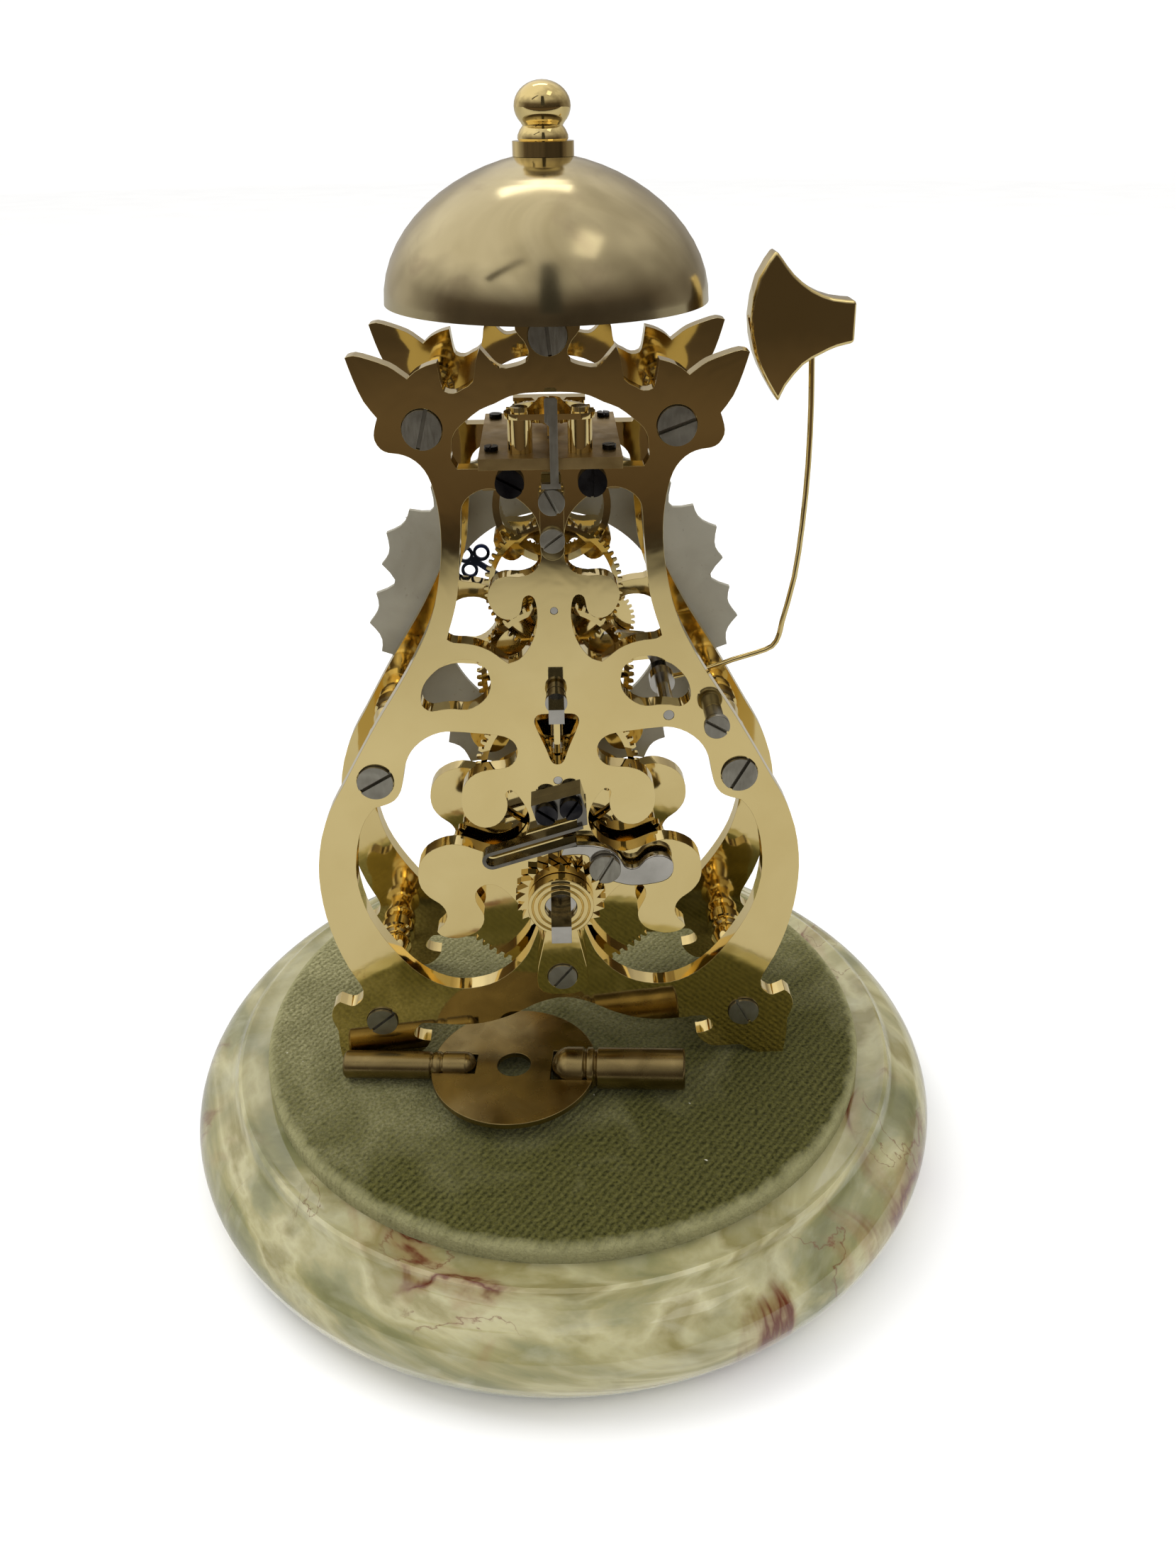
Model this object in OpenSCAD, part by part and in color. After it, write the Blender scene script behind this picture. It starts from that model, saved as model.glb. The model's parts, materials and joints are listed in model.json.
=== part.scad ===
// Skeleton clock with a going train, a lever platform and a passing strike, on a round onyx base.
// X runs to the right seen from the winding side, Y runs from the winding side to the dial, Z is up.
// The origin is the centre of the base's underside. Heights named z_ are measured from the velvet.

/* [Base] */
// Diameter of the onyx base
base_dia = 155; // [154:0.5:157]
// Height of the velvet above the table
deck = 24.5; // [24:0.5:26]
// Diameter of the velvet-covered disc
velvet_dia = 124; // [122:1:125]

/* [Frame] */
// Thickness of each frame plate
plate_t = 3.3; // [3.2:0.05:3.4]
// Space between the two frame plates
plate_gap = 26; // [25.9:0.05:26.1]
// Steps of each curve between two outline points
curve_steps = 2; // [1:1:4]

/* [Train] */
// Teeth of the great wheel
great_teeth = 80; // [80:80]
// Leaves of the second pinion
second_leaves = 10; // [10:10]
// Teeth of the second wheel
second_teeth = 60; // [60:60]
// Leaves of the centre pinion
centre_leaves = 10; // [10:10]
// Teeth of the centre wheel
centre_teeth = 64; // [64:64]
// Leaves of the third pinion
third_leaves = 8; // [8:8]
// Teeth of the third wheel
third_teeth = 60; // [60:60]
// Leaves of the contrate pinion
contrate_leaves = 8; // [8:8]
// Teeth of the contrate wheel
contrate_teeth = 70; // [70:70]
// Leaves of the escape pinion
escape_leaves = 7; // [7:7]

/* [Bell] */
// Radius of the bell at its rim
bell_r = 25.4; // [24:0.1:26]
// Height of the bell from rim to crown
bell_h = 20.7; // [19:0.1:21]

/* [Dial] */
// Radius of the chapter ring at its hour cusps
ring_r = 36; // [35:0.5:37]
// Angle of the minute hand from twelve, seen from the dial
minute_angle = 55; // [0:1:359]

/* [Hidden] */
$fn = 64;

brass = "gold";
steel = "silver";
black_steel = "dimgray";

// Faces of the plates along Y
back_out = -14.4;
back_in = back_out + plate_t;
front_in = back_in + plate_gap;
front_out = front_in + plate_t;
// Running clearance of a pivot in its hole
run = 0.05;
// Heights of the train's arbors, all on the centre line
z_barrel = 40.5;
z_second = 64.8;
z_centre = 81.7;
z_third = 97;
z_contrate = 110.3;
// Share of the module by which a tooth stands past the pitch circle, and reaches under it
addendum = 0.75;
dedendum = 1.2;
// Planes of the wheels along Y, at each wheel's near face
y_second_wheel = -10.6;
y_great_wheel = -9.1;
y_centre_wheel = -6.9;
y_third_wheel = -3.4;
y_contrate = 0;
wheel_t = 0.85;
great_t = 1.7;
drum_r = 19.6;
drum_far = 8.4;
// Platform
platform_z = 122.8;
platform_t = 1.8;
y_balance = -3.5;
y_lever = 4;
y_escape = 7.6;
escape_r = 2.6;
// Motion work in front of the front plate
minute_x = 8.85;
y_motion = front_out + 0.35;
// Winding work outside the back plate
ratchet_r = 8.4;
ratchet_near = back_out - 2.1;
ratchet_far = back_out - 0.3;
cock_near = back_out - 4.8;
cock_far = back_out - 2.3;
click_x = 8.2;
click_z = 48;
click_near = back_out - 2.7;
click_t = 1.7;
cock_screw_z = 24.7;
hammer_stop_x = 27.2;
hammer_stop_z = 77.7;
// Strike
hammer_x = 19.5;
hammer_z = 77.3;
hammer_y = 0.4;
rim_z = 143.4;

// ---- Curves ----

// A point of the smooth curve from b to c, with neighbours a and d, at t from 0 to 1
function between(a, b, c, d, t) =
    0.5 * (2 * b + (c - a) * t + (2 * a - 5 * b + 4 * c - d) * t * t
        + (3 * b - a - 3 * c + d) * t * t * t);

// The smooth curve through the points of one run, without its last point
function bend(p) = let (last = len(p) - 1)
    [for (i = [0:last - 1], k = [0:curve_steps - 1])
        between(p[max(i - 1, 0)], p[i], p[i + 1], p[min(i + 2, last)], k / curve_steps)];

// A chain of smooth runs that meet at sharp corners
function chain(runs) = [for (run_points = runs) each bend(run_points)];

// The left half of a shape whose right half runs from top to bottom on the centre line
function flip(points) = [for (i = [len(points) - 1:-1:0]) [-points[i][0], points[i][1]]];

function polar(r, a) = [r * cos(a), r * sin(a)];

// ---- Placing ----

// Extrude an outline of the X-Z plane from Y = near towards the dial
module slab(near, thick) {
    translate([0, near + thick, deck]) rotate([90, 0, 0]) linear_extrude(thick) children();
}

// A round bar along Y from near to far
module bar(x, z, near, far, r) {
    translate([x, near, deck + z]) rotate([-90, 0, 0]) cylinder(h = far - near, r = r);
}

// A square bar along Y
module square_bar(x, z, near, far, across) {
    translate([x - across / 2, near, deck + z - across / 2]) cube([across, far - near, across]);
}

// A slotted screw along Y: side -1 has its head towards the winding side, 1 towards the dial
module screw(x, z, face, side, head_r, head_h, shank_r, depth, turn) {
    slot_w = 0.19 * head_r;
    translate([x, face, deck + z]) rotate([-90 * side, 0, 0]) difference() {
        union() {
            cylinder(h = head_h, r = head_r);
            translate([0, 0, -depth]) cylinder(h = depth + 0.01, r = shank_r);
        }
        rotate([0, 0, turn]) translate([-head_r - 1, -slot_w / 2, head_h - 0.55 * head_h])
            cube([2 * head_r + 2, slot_w, head_h]);
    }
}

// ---- Toothed wheels ----

// Outline of a spur wheel with its first tooth at the given angle
module teeth(count, pitch_r, turn, width = 0.44) {
    m = 2 * pitch_r / count;
    pitch = 360 / count;
    tip_r = pitch_r + addendum * m;
    root_r = pitch_r - dedendum * m;
    polygon([for (i = [0:count - 1], s = [-1, -0.45, 0.45, 1])
        let (at = turn + i * pitch + s * width * pitch / 2,
            r = abs(s) == 1 ? pitch_r - 0.25 * m : tip_r)
        each abs(s) == 1
            ? (s < 0 ? [polar(root_r, at - 0.02 * pitch), polar(r, at)]
                : [polar(r, at), polar(root_r, at + 0.02 * pitch)])
            : [polar(r, at)]]);
}

// Crossings: the gaps between the arms of a wheel
module crossings(rim_r, hub_r, arms, arm_w, turn) {
    difference() {
        circle(r = rim_r);
        circle(r = hub_r);
        for (i = [0:arms - 1]) rotate(turn + i * 360 / arms)
            translate([0, -arm_w / 2]) square([rim_r + 1, arm_w]);
    }
}

// A crossed wheel on the centre line, its first tooth pointing up
module train_wheel(z, near, thick, count, pitch_r, bore_r, arms) {
    m = 2 * pitch_r / count;
    slab(near, thick) translate([0, z]) difference() {
        teeth(count, pitch_r, 90);
        crossings(pitch_r - 3.4 * m, bore_r + 1.6, arms, 1.1, 90);
        circle(r = bore_r);
    }
}

// A pinion on the centre line with a gap between leaves pointing down
module pinion(z, near, far, count, pitch_r) {
    slab(near, far - near) translate([0, z]) teeth(count, pitch_r, 270 + 180 / count, 0.38);
}

// An arbor on the centre line, with a pivot in each plate
module train_arbor(z, body_r, pivot_r) {
    bar(0, z, back_in + 0.3, front_in - 0.3, body_r);
    bar(0, z, back_out + 0.1, back_in + 0.31, pivot_r);
    bar(0, z, front_in - 0.31, front_out - 0.1, pivot_r);
}

function pitch_radius(distance, own, other) = distance * own / (own + other);
great_r = pitch_radius(z_second - z_barrel, great_teeth, second_leaves);
second_pinion_r = pitch_radius(z_second - z_barrel, second_leaves, great_teeth);
second_r = pitch_radius(z_centre - z_second, second_teeth, centre_leaves);
centre_pinion_r = pitch_radius(z_centre - z_second, centre_leaves, second_teeth);
centre_r = pitch_radius(z_third - z_centre, centre_teeth, third_leaves);
third_pinion_r = pitch_radius(z_third - z_centre, third_leaves, centre_teeth);
third_r = pitch_radius(z_contrate - z_third, third_teeth, contrate_leaves);
contrate_pinion_r = pitch_radius(z_contrate - z_third, contrate_leaves, third_teeth);
contrate_r = 9.5;
escape_pinion_r = contrate_r * escape_leaves / contrate_teeth;

// ---- Frame plates ----

// Right half of the plate's outline, from the top to the bottom of the centre line
plate_edge = [
    [[0, 146.5], [2.5, 145.5], [4.6, 143.8], [4.8, 141.3], [3.7, 139.9], [2.9, 138.3],
        [3.1, 137], [4, 136.4], [5.5, 136], [7, 135.8], [8, 136.3], [9, 137.4], [10.2, 138.8]],
    [[10.2, 138.8], [10.9, 136.8], [11.4, 134], [13.1, 132.9], [14.4, 132.3], [15.8, 132.6],
        [16.3, 134], [16.7, 136.8]],
    [[16.7, 136.8], [18.3, 136.4], [20, 135.6], [21.3, 134.5]],
    [[21.3, 134.5], [22.5, 135.4], [24, 136.4], [26.7, 137.4], [29, 138], [30.3, 137.7]],
    [[30.3, 137.7], [29.4, 134.6], [28.1, 131.3], [26.3, 128.8]],
    [[26.3, 128.8], [26.9, 127], [27, 125.5], [26.2, 124.1], [25, 123.5], [23.5, 123.3],
        [21.8, 122.7], [20.3, 121.5], [19.2, 119.8], [18.5, 117.5], [18, 114.5], [17.8, 111],
        [18, 107], [18.6, 103], [19.6, 98.5], [21.2, 94], [23.2, 90], [25.4, 86], [28.2, 81.5],
        [31.2, 76.8], [34.6, 71], [38, 65], [41, 59.8], [43.2, 54], [44.4, 48], [44.7, 42.5],
        [44.3, 36.5], [43.2, 30.5], [41.4, 24.5], [39.4, 20], [39.1, 18.4]],
    [[39.1, 18.4], [39.4, 16.7], [40.5, 15.4], [41.8, 14.9], [43.9, 16]],
    [[43.9, 16], [45.2, 14.8], [45.9, 12.5], [45.5, 10.2], [45, 8.5], [45.1, 5], [44.7, 0]],
    [[44.7, 0], [39.5, 0]],
    [[39.5, 0], [38, 0.8], [36.5, 1.9], [35, 2.2], [31, 2], [29.2, 2.5], [27.6, 4], [26.8, 5.5]],
    [[26.8, 5.5], [28.4, 5.8], [29.8, 6.6], [30, 7.8], [29.2, 9], [28.2, 10], [26.5, 10],
        [23, 9.6], [19.5, 9.4], [16, 9.7], [13, 10.5], [10, 11.7], [7.3, 13.2], [4.8, 14.5],
        [2, 15.4], [0, 15.7]]];

// Right half of the window under the bell
arch_edge = [
    [[0, 132.3], [3.6, 132.2], [6.1, 131.7], [8.3, 130.7], [10.6, 129.8], [12.8, 128.2],
        [14.4, 126.8], [15.1, 125.4], [15.3, 123.8], [15.4, 122.2], [14.6, 120.9]],
    [[14.6, 120.8], [0, 120.8]]];

// Opening beside the neck
wing_edge = [
    [[2, 110.7], [2.6, 112.8], [3.7, 114.4], [5.3, 115.9], [7.2, 117], [9.3, 117.6],
        [10.9, 117.5], [12.5, 116.8], [13.8, 115.6], [14.4, 114], [14.6, 111], [14.9, 108],
        [15.3, 104], [15.8, 100], [16.6, 96.8], [17.5, 94], [18, 92.3]],
    [[18, 92.3], [17, 91.7], [15, 91.5], [12.9, 91], [10.8, 90], [9.2, 88.7], [7.9, 87.7]],
    [[7.9, 87.7], [6.2, 88.3], [4.8, 89.8], [3.6, 92], [2.9, 94.6], [2.8, 97.2], [3.2, 99.2],
        [4.1, 99.8], [5, 99.3], [5.3, 98], [5.7, 96.6], [7.2, 95.6], [8.8, 95.9], [10.1, 97.2],
        [10.9, 99.4], [10.4, 101.4], [9.3, 102.6], [7.8, 103.1], [5.7, 103], [3.9, 103.4],
        [2.8, 104.2], [2, 105.5], [1.8, 107.2], [1.8, 109], [2, 110.7]]];

// Eye-shaped opening beside the centre arbor
eye_edge = [
    [[11.1, 84.5], [11.5, 86.4], [13.1, 88.1], [15.1, 88.6], [17.2, 88.4], [18.8, 87.6],
        [20.4, 86.5], [22, 84.8], [22.9, 83], [23.2, 81], [22.7, 79.7], [21.4, 79],
        [19.6, 79.3], [17.5, 79.4], [15.4, 79.2], [13.5, 80], [12, 81.4], [11.2, 83],
        [11.1, 84.5]]];

// Right half of the heart under the centre arbor
heart_edge = [
    [[0, 78.1], [2.6, 78], [3.5, 77.6], [3.9, 76.7], [3.6, 75.4], [2.9, 73.6], [2, 71.3],
        [1.3, 69.2], [0.7, 68.3], [0, 68]]];

// Large scrolled opening beside the barrel
scroll_edge = [
    [[4.3, 32.8], [4.6, 31.8], [5.3, 29.8], [6.4, 27], [8, 24.5], [10, 22.2], [12.8, 20.1],
        [16, 18.9], [19.5, 18.5], [22.8, 19.2], [26.2, 21.1], [29.2, 24], [31.8, 27.6],
        [34.2, 31.7], [36.1, 36], [37.3, 40.8], [37.7, 45.6], [37.3, 49.8], [36.4, 54],
        [34.9, 57.6], [33, 60]],
    [[33, 60], [31, 60.6], [29.3, 61.5], [28.1, 63.3], [27.5, 65.5], [27, 68], [26.2, 70.3],
        [24.9, 72.2], [22.8, 73.9], [20.3, 74.9], [18, 75], [14, 74.6], [10.3, 74.1],
        [8.4, 73.4], [7.3, 72.2], [7, 70.6], [7.5, 69], [8.7, 67.8], [10.5, 67.4],
        [12.5, 67.2], [14.6, 66.5], [16.3, 65], [17.2, 62.8], [17.4, 60], [16.8, 57.7],
        [15.3, 56], [13.5, 55.3], [11.6, 55.7], [10.2, 57], [9.3, 58.9], [9.2, 60.8],
        [9.5, 62.2], [8.8, 63], [7.9, 62.7], [6.7, 61], [5.7, 58.9], [5.3, 57], [5.6, 54.9],
        [6.6, 52.8], [8.2, 51], [10, 50], [12, 49.6], [14.5, 50.3], [17, 51.4], [19.5, 51.9],
        [22, 51.4], [24.4, 50], [25.9, 47.8], [26.4, 45], [26, 42.4], [24.6, 40.3],
        [22.9, 38.9], [21.9, 37.5], [21.6, 35.8], [22.2, 34.2], [23.2, 33.2], [23.7, 32.3]],
    [[23.7, 32.3], [23.1, 31.5], [21.8, 30.9], [19.8, 30.7], [17.6, 31.3], [15.9, 32.3],
        [14.8, 34], [14.6, 35.8], [15.2, 37.3], [16, 39.2], [15.9, 41], [15, 42.3],
        [13.5, 42.9], [12, 42.6], [10.6, 41.6], [9.4, 40.2], [8.2, 38.6], [7.6, 37.2],
        [6.3, 35.3], [5, 34.1], [4.3, 32.8]]];

// A shape and its mirror image about the centre line
module pair() {
    children();
    mirror([1, 0]) children();
}

module plate_outline() {
    right = chain(plate_edge);
    arch = chain(arch_edge);
    heart = chain(heart_edge);
    difference() {
        polygon(concat(right, flip(right)));
        polygon(concat(arch, flip(arch)));
        polygon(concat(heart, flip(heart)));
        pair() polygon(chain(wing_edge));
        pair() polygon(chain(eye_edge));
        pair() polygon(chain(scroll_edge));
    }
}

// Pillar places: [x, z, screw head radius, slot angle on the back, pillar radius]
foot_places = [[-36, 11, 3.0, 40, 3.8], [36, 11, 3.0, 118, 3.8]];
shoulder_places = [[-32.4, 65.4, 3.2, 30, 3.4], [32.4, 65.4, 3.2, 62, 3.4]];
ear_places = [[-19.6, 127, 3.05, 75, 3.2], [19.6, 127, 3.05, 20, 3.2]];
top_places = [[0, 140.5, 2.9, 96, 3.0]];
screw_places = concat(foot_places, shoulder_places, ear_places, top_places);
ring_post_places = [[-16.7, 103.5], [16.7, 103.5], [-13, 61], [13, 61]];
bracket_screw_places = [[-6.5, 118.6], [6.5, 118.6]];
spring_screw_places = [[-2.2, 59.9], [2.2, 60.9]];
spring_foot_t = 2.6;
// Screws of the contrate cock: the upper one holds it, the lower one is the arbor's end stop
contrate_screw_z = 116.2;
end_stop_z = 110;
screw_shank = 1.3;
sink = 1.1;

// Radius of each arbor's pivot, on the centre line
pivots = [[z_second, 0.75], [z_third, 0.6], [z_contrate, 0.5]];

module plate_bores(near) {
    for (p = screw_places) bar(p[0], p[1], near - 1, near + plate_t + 1, screw_shank);
    for (p = pivots) bar(0, p[0], near - 1, near + plate_t + 1, p[1] + run);
    for (p = bracket_screw_places) bar(p[0], p[1], near - 1, near + plate_t + 1, 1);
    bar(hammer_x, hammer_z, near - 1, near + plate_t + 1, 0.9 + run);
}

module back_plate() color(brass) difference() {
    slab(back_out, plate_t) plate_outline();
    plate_bores(back_out);
    for (p = screw_places) bar(p[0], p[1], back_out - 1, back_out + sink, p[2] + 0.12);
    bar(0, z_barrel, back_out - 1, back_in + 1, 3 + run);
    bar(0, z_centre, back_out - 1, back_in + 1, 1.6 + run);
    bar(0, cock_screw_z, back_out - 1, back_in + 1, 1.2);
    bar(click_x, click_z, back_out - 1, back_in + 1, 1.2);
    for (p = spring_screw_places) bar(p[0], p[1], back_out - 1, back_out + 2.4, 0.9);
    bar(0, contrate_screw_z, back_out - 1, back_out + 2.4, 0.8);
    bar(hammer_stop_x, hammer_stop_z, back_out - 1, back_in + 1, 1.1);
}

module front_plate() color(brass) difference() {
    slab(front_in, plate_t) plate_outline();
    plate_bores(front_in);
    for (p = screw_places) bar(p[0], p[1], front_out - sink, front_out + 1, p[2] + 0.12);
    bar(0, z_barrel, front_in - 1, front_out + 1, 2.2 + run);
    bar(0, z_centre, front_in - 1, front_out + 1, 1.6 + run);
    bar(minute_x, z_centre, front_in + 1, front_out + 1, 0.8);
    for (p = ring_post_places) bar(p[0], p[1], front_in - 1, front_out + 1, 0.8);
}

// ---- Pillars and their screws ----

// Half the profile of a baluster pillar, from the middle to its shoulder
function baluster(r, half) = [[0, 0], [0.98 * r, 0], [0.98 * r, 0.6], [0.72 * r, 1.1],
    [0.66 * r, 2], [0.72 * r, 4], [0.86 * r, 6.4], [0.94 * r, 8], [0.86 * r, 9.2],
    [0.6 * r, 9.9], [0.86 * r, 10.5], [0.86 * r, 11.1], [0.7 * r, 11.5], [r, 11.9],
    [r, half], [0, half]];

module pillar(p) {
    half = plate_gap / 2;
    difference() {
        for (s = [0, 1]) translate([p[0], back_in + half, deck + p[1]])
            rotate([90 + 180 * s, 0, 0]) rotate_extrude() polygon(baluster(p[4], half));
        bar(p[0], p[1], back_in - 1, back_in + 6, screw_shank);
        bar(p[0], p[1], front_in - 6, front_in + 1, screw_shank);
    }
}

module foot_pillars() color(brass) difference() {
    for (p = foot_places) pillar(p);
    for (p = foot_places) translate([p[0], 1.9, deck]) cylinder(h = p[1] - 0.5, r = 1.5);
}

module shoulder_pillars() color(brass) for (p = shoulder_places) pillar(p);

module ear_pillars() color(brass) for (p = ear_places) pillar(p);

module back_screws() color(steel) for (p = screw_places)
    screw(p[0], p[1], back_out + sink, -1, p[2], sink + 0.7, screw_shank, plate_t - sink + 5, p[3]);

module front_screws() color(steel) for (p = screw_places)
    screw(p[0], p[1], front_out - sink, 1, p[2], sink + 0.6, screw_shank, plate_t - sink + 5, 180 - p[3]);

// ---- Bell ----

post_r = 1.7;
crown_z = rim_z + bell_h;
// The post's shoulder meets the underside of the dome this far below the crown
seat_drop = 1.55;

module bell_pillar() color(brass) difference() {
    union() {
        pillar(top_places[0]);
        translate([0, hammer_y, deck + 140.5]) cylinder(h = crown_z - seat_drop - 140.5, r = 2.6);
        translate([0, hammer_y, deck + crown_z - seat_drop - 0.2])
            cylinder(h = seat_drop + 4.2, r = post_r);
    }
    bar(0, 140.5, back_in - 1, back_in + 6, screw_shank);
    bar(0, 140.5, front_in - 6, front_in + 1, screw_shank);
}

// Point of the bell's dome at angle a from the rim, for a shell set in by `inset`
function dome(a, inset) = [(bell_r - inset) * pow(cos(a), 1.17), (bell_h - inset) * sin(a)];

module bell() color("darkkhaki") difference() {
    translate([0, hammer_y, deck + rim_z]) rotate_extrude() polygon(concat(
        [[bell_r - 1.4, 0], [bell_r, 0]],
        [for (a = [6:6:84]) dome(a, 0)],
        [[0, bell_h], [0, bell_h - 1.2]],
        [for (a = [84:-6:6]) dome(a, 1.2)]));
    translate([0, hammer_y, deck + crown_z - 3]) cylinder(h = 5, r = post_r + 0.02);
}

module bell_finial() color(brass) difference() {
    translate([0, hammer_y, deck + crown_z]) rotate_extrude() polygon(concat(
        [[0, 0.02], [1.8, -0.08], [4, -0.42], [4.6, -0.55], [4.6, 1.5], [3.6, 1.5],
            [3.8, 1.8], [3.75, 2.3], [3.4, 3], [3, 3.5]],
        [for (a = [-40:10:80]) [4.2 * cos(a), 6.05 + 3.4 * sin(a)]],
        [[0, 9.45]]));
    translate([0, hammer_y, deck + crown_z - 1]) cylinder(h = 5, r = post_r);
}

// ---- Base ----

base_r = base_dia / 2;
velvet_r = velvet_dia / 2;
pad_t = 1;
ledge = deck - 4;
board_floor = deck - 9;

module onyx_base() color("palegoldenrod") difference() {
    rotate_extrude() polygon(concat(
        [[0, pad_t], [base_r - 4.6, pad_t], [base_r - 3.6, pad_t + 0.8]],
        [for (a = [-54:9:81]) [base_r - 8.2 + 8.2 * cos(a),
            deck - 15.2 + (a < 0 ? 8.6 : 9) * sin(a)]],
        [[base_r - 8.3, deck - 5.6], [base_r - 8.9, deck - 4.6], [base_r - 9.3, deck - 3.7],
            [base_r - 10, deck - 3.3], [base_r - 10.8, deck - 3.6], [base_r - 11.6, ledge],
            [0, ledge]]));
    translate([0, 0, board_floor]) cylinder(h = 30, r = velvet_r - 1);
    for (p = foot_places) translate([p[0], 1.9, -1]) cylinder(h = 30, r = 1.6);
    for (p = foot_places) translate([p[0], 1.9, -1]) cylinder(h = 6, r = 4.2);
}

module base_pad() color("darkolivegreen") difference() {
    cylinder(h = pad_t, r = base_r - 5);
    for (p = foot_places) translate([p[0], 1.9, -1]) cylinder(h = 3, r = 4.2);
}

module velvet_board() color("tan") difference() {
    translate([0, 0, board_floor]) cylinder(h = deck - 0.9 - board_floor, r = velvet_r - 1);
    for (p = foot_places) translate([p[0], 1.9, 0]) cylinder(h = 30, r = 1.6);
}

module velvet_cover() color("olivedrab") difference() {
    translate([0, 0, deck]) rotate([180, 0, 0]) rotate_extrude() polygon([[0, 0],
        [velvet_r - 1.6, 0], [velvet_r - 0.5, 0.5], [velvet_r, 1.6], [velvet_r, deck - ledge],
        [velvet_r - 1, deck - ledge], [velvet_r - 1, 0.9], [0, 0.9]]);
    for (p = foot_places) translate([p[0], 1.9, 0]) cylinder(h = 30, r = 1.6);
}

module base_studs() color(steel) for (p = foot_places) translate([p[0], 1.9, 0]) {
    translate([0, 0, pad_t + 0.4]) cylinder(h = deck + 10.2 - pad_t - 0.4, r = 1.5);
    difference() {
        translate([0, 0, pad_t + 1.8]) cylinder(h = 2.2, r = 3.2, $fn = 6);
        translate([0, 0, pad_t + 1]) cylinder(h = 4, r = 1.5);
    }
}

// ---- Barrel and winding work ----

core_r = 4.6;

module barrel_drum() color(brass) difference() {
    bar(0, z_barrel, y_great_wheel + great_t, drum_far, drum_r);
    bar(0, z_barrel, y_great_wheel + great_t + 1.2, drum_far + 1, drum_r - 1.4);
    bar(0, z_barrel, y_great_wheel, drum_far, 3 + run);
}

module great_wheel() color(brass) slab(y_great_wheel, great_t) translate([0, z_barrel])
    difference() {
        teeth(great_teeth, great_r, 90);
        circle(r = 3 + run);
    }

module barrel_cover() color(brass) difference() {
    bar(0, z_barrel, drum_far, drum_far + 1.3, drum_r);
    bar(0, z_barrel, drum_far - 1, drum_far + 2, 3 + run);
}

// Spiral strip of the mainspring, from the core to the drum's wall
spring_turns = 9;
spring_in = core_r + 0.35;
spring_out = drum_r - 1.75;
function spiral(k, side) = let (a = k * 18,
    r = spring_in + (spring_out - spring_in - 0.5) * k / (spring_turns * 20) + side * 0.5)
    polar(r, a);

module mainspring() color(black_steel) slab(y_great_wheel + great_t + 1.7, 12.6)
    translate([0, z_barrel]) polygon(concat(
        [for (k = [0:spring_turns * 20]) spiral(k, 0)],
        [for (k = [spring_turns * 20:-1:0]) spiral(k, 1)]));

module barrel_arbor() color(steel) {
    square_bar(0, z_barrel, back_out - 13.2, cock_near + 1.2, 3.6);
    bar(0, z_barrel, cock_near + 1.2, ratchet_near, 2.9);
    bar(0, z_barrel, ratchet_near, -6.2, 3);
    bar(0, z_barrel, -6.2, drum_far - 0.3, core_r);
    bar(0, z_barrel, drum_far - 0.3, front_in - 0.4, 3);
    bar(0, z_barrel, front_in - 0.4, front_out - 0.1, 2.2);
}

ratchet_teeth = 24;
module ratchet_wheel() color(brass) slab(ratchet_near, ratchet_far - ratchet_near)
    translate([0, z_barrel]) difference() {
        polygon([for (i = [0:ratchet_teeth - 1]) let (step = 360 / ratchet_teeth)
            each [polar(ratchet_r, i * step), polar(ratchet_r - 1.7, i * step + 0.12 * step)]]);
        circle(r = 3);
    }

module cock_outline() {
    translate([0, z_barrel]) circle(r = 6.1);
    tail = [[-2, 20.3], [-3.8, 20.9], [-4.7, 22.1], [-4.9, 24], [-4.6, 27], [-3.6, 32], [-3, 35],
        [-3.1, 37]];
    polygon(concat(tail, flip(tail)));
}

module ratchet_cock() color(brass) difference() {
    union() {
        slab(cock_near, cock_far - cock_near) cock_outline();
        slab(cock_far - 0.01, back_out - cock_far + 0.01) intersection() {
            cock_outline();
            translate([-8, 18]) square([16, 13.6]);
        }
    }
    bar(0, z_barrel, cock_near - 1, cock_far + 1, 2.9 + run);
    for (r = [3.9, 5.1]) difference() {
        bar(0, z_barrel, cock_near - 1, cock_near + 0.4, r + 0.3);
        bar(0, z_barrel, cock_near - 2, cock_near + 1, r);
    }
    bar(0, cock_screw_z, cock_near - 1, back_out + 1, 1.2);
    bar(0, cock_screw_z, cock_near - 1, cock_near + 1, 2.85);
}

module cock_screw() color(steel)
    screw(0, cock_screw_z, cock_near + 1, -1, 2.75, 1.5, 1.2, 3.8 + plate_t - 0.4, 52);

// S-shaped pawl about its pivot: beak to the left, tail lobe to the right
click_edge = [
    [[-8, 2.4], [-7.5, 4.2]],
    [[-7.5, 4.2], [-4.7, 4.7], [-1.8, 4.5], [1, 3.6], [2.7, 1.8], [3.7, 0], [4.9, -0.6],
        [6.2, -0.2], [7.3, 1.2], [8.6, 2], [10.6, 2.1], [12.3, 1], [12.7, -0.8], [12.3, -2.5],
        [10.8, -3.7], [7.8, -4.3], [4.9, -4.4], [2.2, -3.7], [-0.4, -2.6], [-1.9, -1.3],
        [-2.7, 0.2], [-2.9, 1.8], [-3.7, 2.5], [-5.9, 2.6], [-8, 2.4]]];

module click() color(steel) difference() {
    slab(click_near, click_t) translate([click_x, click_z]) polygon(chain(click_edge));
    bar(click_x, click_z, click_near - 1, back_out, 1.5 + run);
}

module click_screw() color(steel) {
    screw(click_x, click_z, click_near - 0.1, -1, 2.9, 1.2, 1.5, click_t + 0.25, 62);
    bar(click_x, click_z, click_near + click_t + 0.1, back_out, 2.4);
    bar(click_x, click_z, back_out - 0.01, back_in, 1.2);
}

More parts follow.
